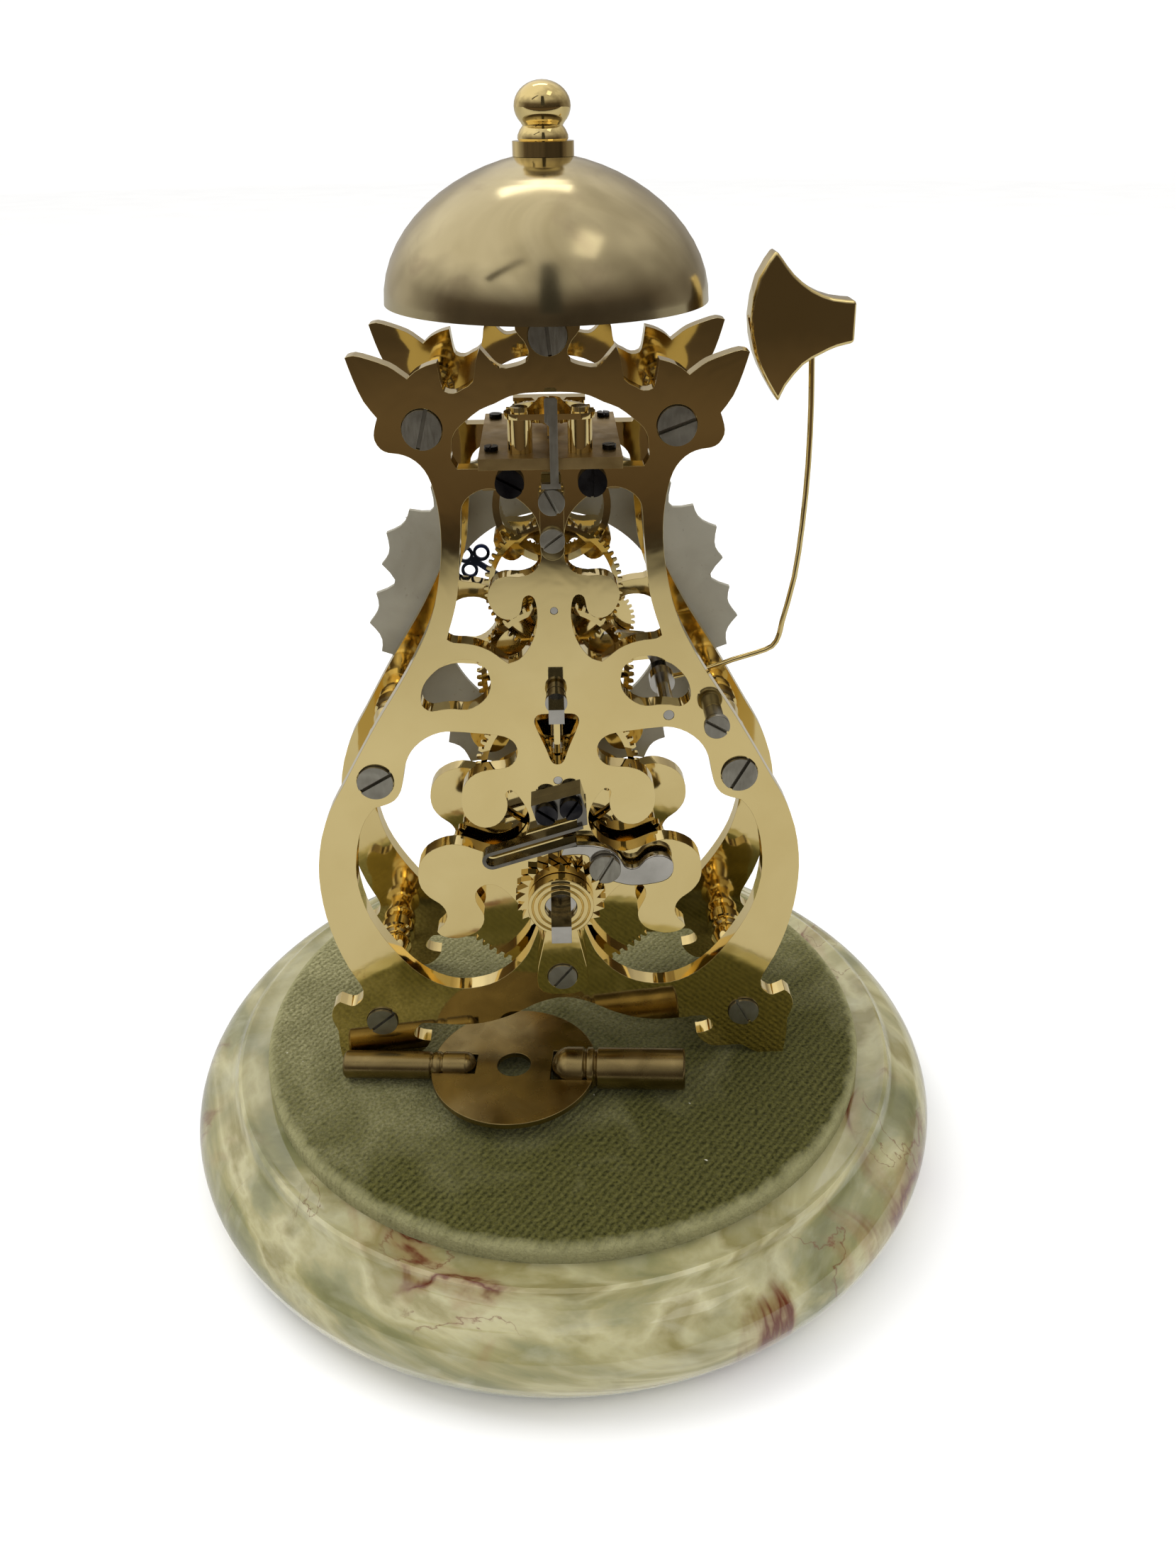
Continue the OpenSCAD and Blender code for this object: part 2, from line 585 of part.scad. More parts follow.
// A folded strip: the outer leaf, the loop and the inner leaf that presses on the pawl
module click_spring() color(steel) {
    slab(back_out - 3.4, 2.6) translate([-12.3, 50.2]) rotate(17.5) difference() {
        union() {
            circle(r = 1.8);
            translate([0, -1.8]) square([17.8, 3.6]);
        }
        circle(r = 1.1);
        translate([0, -1.1]) square([20, 2.2]);
        translate([15.6, -2]) square([4, 1.5]);
    }
    difference() {
        slab(back_out - spring_foot_t, spring_foot_t) translate([0, 60.5]) rotate(15)
            translate([-4.6, -2.2]) square([9.2, 4.1]);
        for (p = spring_screw_places) bar(p[0], p[1], back_out - 5, back_out + 1, 0.9);
    }
    slab(back_out - spring_foot_t, spring_foot_t - 0.8) polygon([[3.3, 56.5], [5.1, 57],
        [4.9, 60.5], [3.1, 60]]);
}

module click_spring_screws() color(black_steel) {
    for (p = spring_screw_places)
        screw(p[0], p[1], back_out - spring_foot_t, -1, 2.05, 1.5, 0.9, 4.8, 100 - 20 * p[0]);
}

// ---- Going train ----

module second_wheel() color(brass)
    train_wheel(z_second, y_second_wheel, wheel_t, second_teeth, second_r, 1.6, 4);

module second_arbor() color(steel) {
    train_arbor(z_second, 1.2, 0.75);
    bar(0, z_second, y_second_wheel, y_second_wheel + wheel_t, 1.6);
    pinion(z_second, y_great_wheel - 0.2, y_great_wheel + great_t + 0.15, second_leaves,
        second_pinion_r);
}

module centre_wheel() color(brass)
    train_wheel(z_centre, y_centre_wheel, wheel_t, centre_teeth, centre_r, 2, 4);

// Seen from the back, the snail lifts the hammer's tail once a turn
module centre_arbor() color(steel) {
    square_bar(0, z_centre, back_out - 8.7, back_out - 3.4, 2.6);
    bar(0, z_centre, back_out - 3.5, back_out - 2.6, 1.9);
    bar(0, z_centre, back_out - 2.7, y_centre_wheel, 1.6);
    pinion(z_centre, y_second_wheel - 0.2, y_second_wheel + wheel_t + 0.2, centre_leaves,
        centre_pinion_r);
    bar(0, z_centre, y_centre_wheel, y_centre_wheel + wheel_t, 2);
    bar(0, z_centre, y_centre_wheel + wheel_t, front_out - 0.01, 1.6);
    bar(0, z_centre, front_out - 0.02, 26.3, 0.9);
    slab(3, 1.3) translate([0, z_centre]) polygon([for (a = [0:12:348])
        polar(3.4 + 3.2 * a / 348, a + 40)]);
}

module third_wheel() color(brass)
    train_wheel(z_third, y_third_wheel, wheel_t, third_teeth, third_r, 1.5, 4);

module third_arbor() color(steel) {
    train_arbor(z_third, 1, 0.6);
    bar(0, z_third, y_third_wheel, y_third_wheel + wheel_t, 1.5);
    pinion(z_third, y_centre_wheel - 0.3, y_centre_wheel + wheel_t + 0.3, third_leaves,
        third_pinion_r);
}

// Crown wheel: a rim band with its teeth standing towards the dial
contrate_tip = y_escape - escape_pinion_r + 0.12;
module contrate_wheel() color(brass) {
    slab(y_contrate, wheel_t) translate([0, z_contrate]) difference() {
        circle(r = contrate_r + 0.6);
        crossings(contrate_r - 0.6, 3, 4, 1.1, 45);
        circle(r = 1.5);
    }
    difference() {
        bar(0, z_contrate, y_contrate + wheel_t - 0.01, contrate_tip - 0.9, contrate_r + 0.6);
        bar(0, z_contrate, y_contrate, contrate_tip, contrate_r - 0.5);
    }
    slab(contrate_tip - 0.91, 0.91) translate([0, z_contrate]) difference() {
        for (i = [0:contrate_teeth - 1]) rotate(90 + 360 / contrate_teeth * i)
            translate([contrate_r - 0.5, -0.16]) square([1.05, 0.32]);
    }
}

module contrate_arbor() color(steel) {
    bar(0, z_contrate, back_in + 0.3, front_in - 0.3, 0.9);
    bar(0, z_contrate, back_out + 0.6, back_in + 0.31, 0.5);
    bar(0, z_contrate, front_in - 0.31, front_out - 0.1, 0.5);
    bar(0, z_contrate, y_contrate, y_contrate + wheel_t, 1.5);
    pinion(z_contrate, y_third_wheel - 0.3, y_third_wheel + wheel_t + 0.3, contrate_leaves,
        contrate_pinion_r);
}

module contrate_cock() color(brass) difference() {
    slab(back_out - 2.4, 2.4) {
        translate([-1.9, 108.4]) square([3.8, 9.3]);
        translate([0, 108.4]) circle(r = 1.9);
        translate([-1.6, 117.6]) square([3.2, 1.5]);
    }
    for (z = [contrate_screw_z, end_stop_z]) bar(0, z, back_out - 5, back_out + 1, 0.8);
}

module contrate_cock_screws() color(steel) {
    screw(0, contrate_screw_z, back_out - 2.4, -1, 2.1, 1.1, 0.8, 4.6, 118);
    screw(0, end_stop_z, back_out - 2.4, -1, 2.0, 1.1, 0.8, 2.3, 36);
}

// Thin strip that swings up against the balance to lock it for carriage
module locking_strip() color(steel) {
    slab(back_out - 3.6, 1.2) translate([-1.5, 118.4]) square([3, 0.8]);
    slab(back_out - 3.6, 0.4) polygon([[-0.1, 119], [1.2, 119], [1.2, 131.9], [0.9, 132.2],
        [-0.6, 132.2], [-0.8, 131.8], [-0.8, 128.6], [-0.1, 128]]);
}

// ---- Platform escapement ----

module platform_brackets() color(brass) difference() {
    for (s = [-1, 1]) {
        slab(back_in, 1.6) translate([s * 7.5 - 3.5, 116.4]) square([7, 4.6]);
        slab(back_in, 5.6) translate([s * 7.5 - 3.5, 119.6]) square([7, 1.4]);
        slab(front_in - 1.6, 1.6) translate([s * 7.5 - 3.5, 116.4]) square([7, 4.6]);
        slab(front_in - 4.6, 4.6) translate([s * 7.5 - 3.5, 119.6]) square([7, 1.4]);
    }
    for (p = bracket_screw_places) bar(p[0], p[1], back_in - 1, back_in + 3, 1);
    for (p = bracket_screw_places) bar(p[0], p[1], front_in - 3, front_in + 1, 1);
}

module platform_plate() color(brass) difference() {
    translate([-11.2, -16.4, deck + platform_z - platform_t]) cube([22.4, 30.5, platform_t]);
    translate([0, y_escape, deck + platform_z - 3]) cylinder(h = 5, r = 1.5);
    for (x = [-9.3, 9.3], y = [-11, 11]) translate([x, y, deck + 120]) cylinder(h = 5, r = 0.6);
}

module platform_screws() color(black_steel) {
    for (x = [-9.3, 9.3], y = [-11, 11]) translate([x, y, deck + platform_z]) difference() {
        union() {
            cylinder(h = 0.7, r = 1.1);
            translate([0, 0, -platform_t]) cylinder(h = 2, r = 0.6);
        }
        rotate([0, 0, 7 * x + 3 * y]) translate([-3, -0.12, 0.4]) cube([6, 0.24, 2]);
    }
    for (p = bracket_screw_places) {
        screw(p[0], p[1], back_out, -1, 2.3, 1.2, 1, plate_t + 1.6, 30 + 9 * p[0]);
        screw(p[0], p[1], front_out, 1, 2.3, 1.2, 1, plate_t + 1.6, 70 - 9 * p[0]);
    }
}

wheel_z = platform_z + 1.5;
module escape_wheel() color(brass) translate([0, y_escape, deck]) {
    translate([0, 0, wheel_z]) linear_extrude(0.6) difference() {
        polygon([for (i = [0:14]) each [polar(escape_r, i * 24), polar(escape_r, i * 24 + 3),
            polar(escape_r - 0.9, i * 24 + 7), polar(escape_r - 0.9, i * 24 + 21)]]);
        crossings(escape_r - 1.3, 0.9, 4, 0.4, 12);
    }
    translate([0, 0, 118.2]) cylinder(h = wheel_z + 0.8 - 118.2, r = 0.45);
    translate([0, 0, wheel_z + 0.7]) cylinder(h = 0.9, r = 0.2);
    translate([0, 0, 118.9]) linear_extrude(1.9)
        teeth(escape_leaves, escape_pinion_r, 270 + 180 / escape_leaves, 0.36);
}

// Lever with two arms round the escape wheel and a fork towards the balance
module lever() color(steel) translate([0, y_lever, deck + wheel_z]) {
    linear_extrude(0.6) difference() {
        union() {
            polygon([[-0.45, -4.2], [0.45, -4.2], [0.5, 0], [2.5, 0.8], [3.1, 2.3], [2.6, 2.4],
                [1.9, 1.2], [0, 0.6], [-1.9, 1.2], [-2.6, 2.4], [-3.1, 2.3], [-2.5, 0.8],
                [-0.5, 0]]);
            circle(r = 0.7);
            translate([-0.8, -5]) square([1.6, 1.2]);
        }
        translate([-0.3, -5.5]) square([0.6, 1.1]);
    }
    translate([0, 0, -1.4]) cylinder(h = 1.41, r = 0.3);
    translate([0, 0, 0.59]) cylinder(h = 1, r = 0.2);
}

balance_r = 6.6;
balance_z = platform_z + 3.8;
module balance_wheel() color(brass) translate([0, y_balance, deck]) {
    translate([0, 0, balance_z]) linear_extrude(0.8) difference() {
        circle(r = balance_r);
        crossings(balance_r - 0.8, 0.9, 2, 0.7, 25);
    }
    for (a = [5:20:345]) rotate([0, 0, a + 20]) translate([balance_r - 0.1, 0, balance_z + 0.4])
        rotate([0, 90, 0]) cylinder(h = 0.7, r = 0.38);
    translate([0, 0, platform_z + 0.3]) cylinder(h = 5.6, r = 0.4);
    translate([0, 0, platform_z + 2.3]) cylinder(h = 0.35, r = 1.2);
}

hair_turns = 6;
function hair(k, side) = polar(0.95 + 2.1 * k / (hair_turns * 16) + side * 0.12, k * 22.5);
module hairspring() color("steelblue") translate([0, y_balance, deck + balance_z + 0.95])
    linear_extrude(0.25) {
        polygon(concat([for (k = [0:hair_turns * 16]) hair(k, 0)],
            [for (k = [hair_turns * 16:-1:0]) hair(k, 1)]));
        difference() {
            circle(r = 1.2);
            circle(r = 0.4);
        }
    }

// Bridge over the balance on two pillars, and the lower bridge over wheel and lever
bridge_z = 128.1;
module platform_cocks() color(brass) {
    difference() {
        translate([0, 0, deck + bridge_z]) linear_extrude(0.9) {
            translate([-4.8, -12]) circle(r = 2.3);
            translate([4.8, -12]) circle(r = 2.3);
            translate([-4.8, -14.3]) square([9.6, 4.6]);
            polygon([[-3.4, -10], [3.4, -10], [1.6, -2.6], [-1.6, -2.6]]);
            translate([0, y_balance]) circle(r = 1.9);
        }
        translate([0, y_balance, deck + bridge_z - 1]) cylinder(h = 3, r = 0.45);
    }
    for (x = [-4.7, 4.7]) {
        translate([x, -12, deck + platform_z]) cylinder(h = bridge_z - platform_z, r = 1.95);
        translate([x, -12, deck + bridge_z + 0.89]) cylinder(h = 0.7, r = 1.35);
    }
    difference() {
        translate([0, 0, deck + wheel_z + 1.3]) linear_extrude(0.6) {
            translate([-6.2, 10.4]) square([12.4, 2.6]);
            polygon([[-3, 10.5], [3, 10.5], [1.2, 3.4], [-1.2, 3.4]]);
        }
        translate([0, y_escape, deck + wheel_z]) cylinder(h = 3, r = 0.25);
        translate([0, y_lever, deck + wheel_z]) cylinder(h = 3, r = 0.25);
    }
    for (x = [-5, 5]) translate([x, 11.7, deck + platform_z])
        cylinder(h = wheel_z + 1.31 - platform_z, r = 1.1);
}

// ---- Motion work, dial and hands ----

cannon_teeth = 12;
minute_teeth = 36;
minute_leaves = 10;
hour_teeth = 40;
cannon_r = pitch_radius(minute_x, cannon_teeth, minute_teeth);
minute_r = pitch_radius(minute_x, minute_teeth, cannon_teeth);
minute_pinion_r = pitch_radius(minute_x, minute_leaves, hour_teeth);
hour_r = pitch_radius(minute_x, hour_teeth, minute_leaves);

module cannon_pinion() color(steel) difference() {
    union() {
        slab(y_motion, 1.2) translate([0, z_centre]) teeth(cannon_teeth, cannon_r, 0, 0.38);
        bar(0, z_centre, y_motion + 1, 24.4, 1.3);
    }
    bar(0, z_centre, y_motion - 1, 25, 0.9);
}

module minute_wheel() color(brass) difference() {
    union() {
        slab(y_motion + 0.2, 0.8) translate([minute_x, z_centre])
            teeth(minute_teeth, minute_r, 180 + 180 / minute_teeth);
        slab(y_motion + 0.99, 1.7) translate([minute_x, z_centre])
            teeth(minute_leaves, minute_pinion_r, 180 + 180 / minute_leaves, 0.38);
    }
    bar(minute_x, z_centre, y_motion - 1, 23, 0.8 + run);
}

module hour_wheel() color(brass) difference() {
    union() {
        slab(y_motion + 1.5, 0.8) translate([0, z_centre]) teeth(hour_teeth, hour_r, 0);
        bar(0, z_centre, y_motion + 2.2, 23.6, 2.1);
    }
    bar(0, z_centre, y_motion, 25, 1.3 + run);
}

// A pierced hand pointing along X: two loops beside the stem, a ring past them and a tapered tip
module hand_shape(length, loops_at, hub_r, bore_r) {
    loop_places = [[loops_at + 0.75, -2.1], [loops_at + 0.75, 2.1], [loops_at + 3.2, 0]];
    difference() {
        union() {
            circle(r = hub_r);
            polygon([[0, -0.7], [loops_at + 2, -0.5], [loops_at + 2, 0.5], [0, 0.7]]);
            polygon([[loops_at + 4.5, -0.7], [length, 0], [loops_at + 4.5, 0.7]]);
            for (p = loop_places) translate(p) circle(r = 1.65);
        }
        for (p = loop_places) translate(p) circle(r = 1.05);
        circle(r = bore_r);
    }
}

// Angle in the X-Z plane of a hand that stands `a` degrees past twelve, seen from the dial
function hand_turn(a) = 90 + a;

module minute_hand() color("midnightblue") {
    slab(24.4, 0.6) translate([0, z_centre]) rotate(hand_turn(minute_angle))
        hand_shape(34, 17.6, 2.3, 0.9);
}

module hour_hand() color("midnightblue") slab(23, 0.6) translate([0, z_centre])
    rotate(hand_turn(minute_angle / 12)) hand_shape(23.5, 12, 3, 2.1);

// Radius of the scalloped edge at angle a: hour cusps every 30 degrees, lesser cusps 10 beside them
ring_lesser = ring_r - 1.3;
function scallop(a) = let (off = abs(a - 30 * round(a / 30)))
    off <= 10 ? ring_r - (ring_r - ring_lesser) * off / 10 - 1.2 * sin(18 * off)
        : ring_lesser - 3.3 * sin(18 * (off - 10));

module chapter_ring() color("whitesmoke") difference() {
    slab(20, 1.2) translate([0, z_centre]) difference() {
        polygon([for (a = [0:2:358]) polar(scallop(a), a)]);
        circle(r = 21.7);
    }
    for (p = ring_post_places) bar(p[0], p[1], 19, 22, 0.8);
}

module ring_posts() color(brass) {
    for (p = ring_post_places) {
        bar(p[0], p[1], front_out, 20, 1.3);
        bar(p[0], p[1], front_in + 0.4, front_out + 0.01, 0.8);
        bar(p[0], p[1], 19.99, 21.2, 0.8);
    }
    bar(minute_x, z_centre, front_in + 1, front_out, 0.8);
    bar(minute_x, z_centre, front_out - 0.01, y_motion + 3, 0.8);
}

// ---- Passing strike ----

module hammer_arbor() color(steel) {
    bar(hammer_x, hammer_z, back_in + 0.3, front_in - 0.3, 1.3);
    bar(hammer_x, hammer_z, back_out + 0.1, back_in + 0.31, 0.9);
    bar(hammer_x, hammer_z, front_in - 0.31, front_out - 0.1, 0.9);
    bar(hammer_x, hammer_z, hammer_y - 1.5, hammer_y + 1.5, 2.3);
    slab(3, 1.3) polygon([[18, 76.4], [21, 76.4], [20.4, 79.6], [17.9, 83.9], [16.4, 85.3],
        [12, 85.8], [9, 85.4], [8.3, 84.2], [12, 84.3], [15.4, 83.8], [17.6, 79.8]]);
}

wire_r = 0.5;
wire_route = [[21, 77.8], [28, 79.4], [32.4, 81], [36.7, 82.3], [39.5, 83.5], [40.6, 85.6],
    [41, 88.2], [42.6, 96.6], [43.3, 106.3], [43.5, 116.6], [43.2, 126.4], [42.7, 134],
    [42.6, 138]];

wire_sides = 10;
wire_path = concat(bend(wire_route), [wire_route[len(wire_route) - 1]]);

// Ring of the wire's skin around point i of its path
function wire_ring(i) = let (a = wire_path[max(i - 1, 0)],
    b = wire_path[min(i + 1, len(wire_path) - 1)], along = (b - a) / norm(b - a), p = wire_path[i])
    [for (k = [0:wire_sides - 1]) let (u = wire_r * cos(360 * k / wire_sides))
        [p[0] + u * along[1], hammer_y + wire_r * sin(360 * k / wire_sides),
            deck + p[1] - u * along[0]]];

module hammer_wire() color(brass) {
    rings = len(wire_path);
    polyhedron(
        points = [for (i = [0:rings - 1]) each wire_ring(i)],
        faces = concat(
            [[for (k = [wire_sides - 1:-1:0]) k]],
            [for (i = [0:rings - 2], k = [0:wire_sides - 1]) let (n = (k + 1) % wire_sides)
                [i * wire_sides + k, i * wire_sides + n, (i + 1) * wire_sides + n,
                    (i + 1) * wire_sides + k]],
            [[for (k = [0:wire_sides - 1]) (rings - 1) * wire_sides + k]]));
}

hammer_edge = [
    [[35.5, 150.4], [36.6, 149.1], [38.6, 146.8], [41.6, 144.6], [45, 143.3], [48.7, 142.9]],
    [[48.7, 142.9], [48.9, 136.5]],
    [[48.9, 136.5], [46.2, 135.9], [43.7, 134.8], [41, 133.2], [38.4, 130], [37.3, 127.4]],
    [[37.3, 127.4], [35, 130.9], [33, 135], [32, 140.5], [33, 146.4], [35.5, 150.4]]];

module hammer_head() color(brass)
    slab(hammer_y - 2.6, 5.2) polygon(chain(hammer_edge));

module hammer_stop() color(steel) {
    screw(hammer_stop_x, hammer_stop_z, back_out - 4.7, -1, 2.2, 1.2, 1.1, 4.7 + plate_t - 0.3, 150);
    bar(hammer_stop_x, hammer_stop_z, back_out - 4.7, back_out, 1.6);
}

// ---- Winding key, lying on the velvet ----

key_x = -10;
key_y = -20.9;
key_turn = -5.5;
key_lift = 3.85;
key_tilt = -1.7;
key_disc_t = 1.2;
big_end_r = 4.05;
small_end_r = 2.75;

module key_frame() {
    translate([key_x, key_y, deck + key_lift]) rotate([0, key_tilt, key_turn]) children();
}

module key_disc() color("peru") key_frame() difference() {
    translate([0, 0, -key_disc_t / 2]) cylinder(h = key_disc_t, r = 16.35);
    translate([0, 0, -2]) cylinder(h = 4, r = 3.3);
    translate([7.5, -big_end_r, -2]) cube([20, 2 * big_end_r, 4]);
    translate([-27.5, -small_end_r, -2]) cube([20, 2 * small_end_r, 4]);
}

// One barrel of the key along +X, with turned grooves and a square socket in its end
module key_barrel(near, far, r, across) {
    groove = 0.12 * r;
    difference() {
        translate([near, 0, 0]) rotate([0, 90, 0]) rotate_extrude() polygon(concat(
            [[0, 0]],
            [for (a = [15:15:90]) [r * sin(a), 0.8 * r * (1 - cos(a))]],
            [[r, 6.2], [r - groove, 6.7], [r, 7.2], [r, 8.2], [r - groove, 8.7], [r, 9.2],
                [r, far - near - 0.4], [r - 0.4, far - near], [0, far - near]]));
        translate([far - 9, -across / 2, -across / 2]) cube([10, across, across]);
    }
}

module key_barrels() color("peru") key_frame() {
    key_barrel(7.5, 33.7, big_end_r, 3.8);
    mirror([1, 0, 0]) key_barrel(7.5, 33.9, small_end_r, 2.8);
}

onyx_base();
base_pad();
velvet_board();
velvet_cover();
base_studs();
back_plate();
front_plate();
foot_pillars();
shoulder_pillars();
ear_pillars();
bell_pillar();
back_screws();
front_screws();
bell();
bell_finial();
barrel_drum();
great_wheel();
barrel_cover();
mainspring();
barrel_arbor();
ratchet_wheel();
ratchet_cock();
cock_screw();
click();
click_screw();
click_spring();
click_spring_screws();
second_wheel();
second_arbor();
centre_wheel();
centre_arbor();
third_wheel();
third_arbor();
contrate_wheel();
contrate_arbor();
contrate_cock();
contrate_cock_screws();
locking_strip();
platform_brackets();
platform_plate();
platform_screws();
escape_wheel();
lever();
balance_wheel();
hairspring();
platform_cocks();
cannon_pinion();
minute_wheel();
hour_wheel();
minute_hand();
hour_hand();
chapter_ring();
ring_posts();
hammer_arbor();
hammer_wire();
hammer_head();
hammer_stop();
key_disc();
key_barrels();
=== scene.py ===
"""Looks of the skeleton clock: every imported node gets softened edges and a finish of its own."""

import json
import math
import random

import bmesh
import bpy
from mathutils import Matrix, Vector


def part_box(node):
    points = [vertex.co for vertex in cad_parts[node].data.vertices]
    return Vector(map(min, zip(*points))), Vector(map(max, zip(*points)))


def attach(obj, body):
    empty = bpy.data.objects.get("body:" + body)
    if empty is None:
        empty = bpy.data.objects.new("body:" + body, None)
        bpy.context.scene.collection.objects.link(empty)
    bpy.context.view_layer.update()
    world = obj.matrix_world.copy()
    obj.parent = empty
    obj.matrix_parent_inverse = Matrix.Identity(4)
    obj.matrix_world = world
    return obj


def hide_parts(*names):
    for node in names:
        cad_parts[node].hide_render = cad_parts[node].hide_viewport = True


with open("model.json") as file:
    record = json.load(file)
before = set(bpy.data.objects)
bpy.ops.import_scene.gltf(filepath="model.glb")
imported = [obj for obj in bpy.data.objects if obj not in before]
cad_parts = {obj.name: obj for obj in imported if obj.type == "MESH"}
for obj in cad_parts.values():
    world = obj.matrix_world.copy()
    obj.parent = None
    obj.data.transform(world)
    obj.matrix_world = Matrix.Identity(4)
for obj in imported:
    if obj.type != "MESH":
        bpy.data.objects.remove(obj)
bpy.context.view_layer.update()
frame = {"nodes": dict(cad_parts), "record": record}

MM = 0.001
RECORD = frame["record"]
BODY_OF = {node: body for body, nodes in RECORD["behaviour"]["bodies"].items() for node in nodes}
SLOT_OF = {part["node"]: part["material_slot"] for part in RECORD["subparts"]}
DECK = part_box("velvet_cover")[1][2]
CORNER_DEG = 34          # edges sharper than this are corners

# Camera: its height above the velvet and distance in front, its turn, and its lens
EYE_FRONT, EYE_HEIGHT = 207.08 * MM, 173.0 * MM
EYE_YAW, EYE_PITCH, EYE_ROLL = (math.radians(a) for a in (-1.585, 29.50, -0.574))
LENS_MM, SENSOR_MM = 28.45, 36

# Studio, in metres
FLOOR_HALF = 6
TENT_R = 3.0
TENT_BOTTOM = 0.002      # just above the floor, so that the two never share a plane
TABLE_HEIGHT = 0.0015
TABLE_HOLE_R = 0.0795    # clears the stone's edge

# Dial side, in millimetres from the ring's middle
TRACK_IN, TRACK_OUT = 30.0, 31.1
NUMERAL_MIDDLE, NUMERAL_HALF, NUMERAL_PITCH = 26.4, 2.5, 2.1
THICK, THIN = 0.62, 0.22


# ---- Node helpers ----


def add(tree, kind, **values):
    """A shader node; a value whose name is a socket sets that socket, any other sets a property."""
    node = tree.nodes.new(kind)
    for name, value in values.items():
        socket = node.inputs.get(name.replace("_", " "))
        if socket is None:
            setattr(node, name, value)
        else:
            socket.default_value = value
    return node


def noise(tree, size_mm, detail=4.0, distortion=0.0, stretch=None, turn=(0, 0, 0)):
    """Noise whose features are about size_mm across, fixed to the piece. Returns its value socket."""
    coords = tree.nodes.new("ShaderNodeTexCoord")
    place = tree.nodes.new("ShaderNodeMapping")
    place.inputs["Scale"].default_value = stretch or (1, 1, 1)
    place.inputs["Rotation"].default_value = turn
    texture = add(tree, "ShaderNodeTexNoise", Scale=1000 / size_mm, Detail=detail, Distortion=distortion)
    tree.links.new(coords.outputs["Object"], place.inputs["Vector"])
    tree.links.new(place.outputs["Vector"], texture.inputs["Vector"])
    return texture.outputs["Fac"]


def ramp(tree, value, *stops):
    """A colour ramp over value: each stop is (place, colour), where a number is a grey."""
    node = tree.nodes.new("ShaderNodeValToRGB")
    elements = node.color_ramp.elements
    while len(elements) < len(stops):
        elements.new(0.5)
    for element, (place, colour) in zip(elements, stops):
        element.position = place
        grey = isinstance(colour, (int, float))
        element.color = (colour, colour, colour, 1) if grey else (*colour, 1)
    tree.links.new(value, node.inputs["Fac"])
    return node.outputs["Color"]


def mix(tree, factor, a, b):
    node = tree.nodes.new("ShaderNodeMix")
    node.data_type = "RGBA"
    for socket, value in ((node.inputs[0], factor), (node.inputs[6], a), (node.inputs[7], b)):
        if isinstance(value, bpy.types.NodeSocket):
            tree.links.new(value, socket)
        else:
            socket.default_value = (*value, 1) if hasattr(value, "__len__") else value
    return node.outputs[2]


def along(tree, axis, low, high):
    """0 to 1 as the place on the piece goes from low to high along an axis, in metres."""
    coords, split = tree.nodes.new("ShaderNodeTexCoord"), tree.nodes.new("ShaderNodeSeparateXYZ")
    span = add(tree, "ShaderNodeMapRange", From_Min=low, From_Max=high)
    tree.links.new(coords.outputs["Object"], split.inputs["Vector"])
    tree.links.new(split.outputs[axis], span.inputs["Value"])
    return span.outputs["Result"]


def maths(tree, operation, a, b):
    node = add(tree, "ShaderNodeMath", operation=operation)
    for socket, value in zip(node.inputs, (a, b)):
        if isinstance(value, bpy.types.NodeSocket):
            tree.links.new(value, socket)
        else:
            socket.default_value = value
    return node.outputs[0]


def bump(tree, shader, height, depth_mm, strength=1.0):
    node = add(tree, "ShaderNodeBump", Strength=strength, Distance=depth_mm * MM)
    tree.links.new(height, node.inputs["Height"])
    tree.links.new(node.outputs["Normal"], shader.inputs["Normal"])


def blank(name, **values):
    """A new material as (material, node tree, Principled shader); each value sets the socket of its name."""
    mat = bpy.data.materials.new(name)
    mat.use_nodes = True
    shader = mat.node_tree.nodes["Principled BSDF"]
    for key, value in values.items():
        shader.inputs[key.replace("_", " ")].default_value = value
    return mat, mat.node_tree, shader


def metal(name, low, high, patch_mm, rough, grain_mm=0.35, grain_depth=0.0, stretch=None, wave_depth=0.0):
    """A metal whose colour drifts between low and high over patches, and whose gloss varies within rough."""
    mat, tree, shader = blank(name, Metallic=1.0)
    tone = noise(tree, patch_mm, 5, 0.6)
    tree.links.new(ramp(tree, tone, (0.32, low), (0.68, high)), shader.inputs["Base Color"])
    wear = noise(tree, patch_mm * 0.55, 6, 0.3, stretch)
    tree.links.new(ramp(tree, wear, (0.3, rough[0]), (0.7, rough[1])), shader.inputs["Roughness"])
    if grain_depth:
        bump(tree, shader, noise(tree, grain_mm, 3, 0, stretch), grain_depth, 0.4)
    if wave_depth:
        bump(tree, shader, noise(tree, 14, 3, 0.4), wave_depth)
    return mat


# ---- Finishes ----


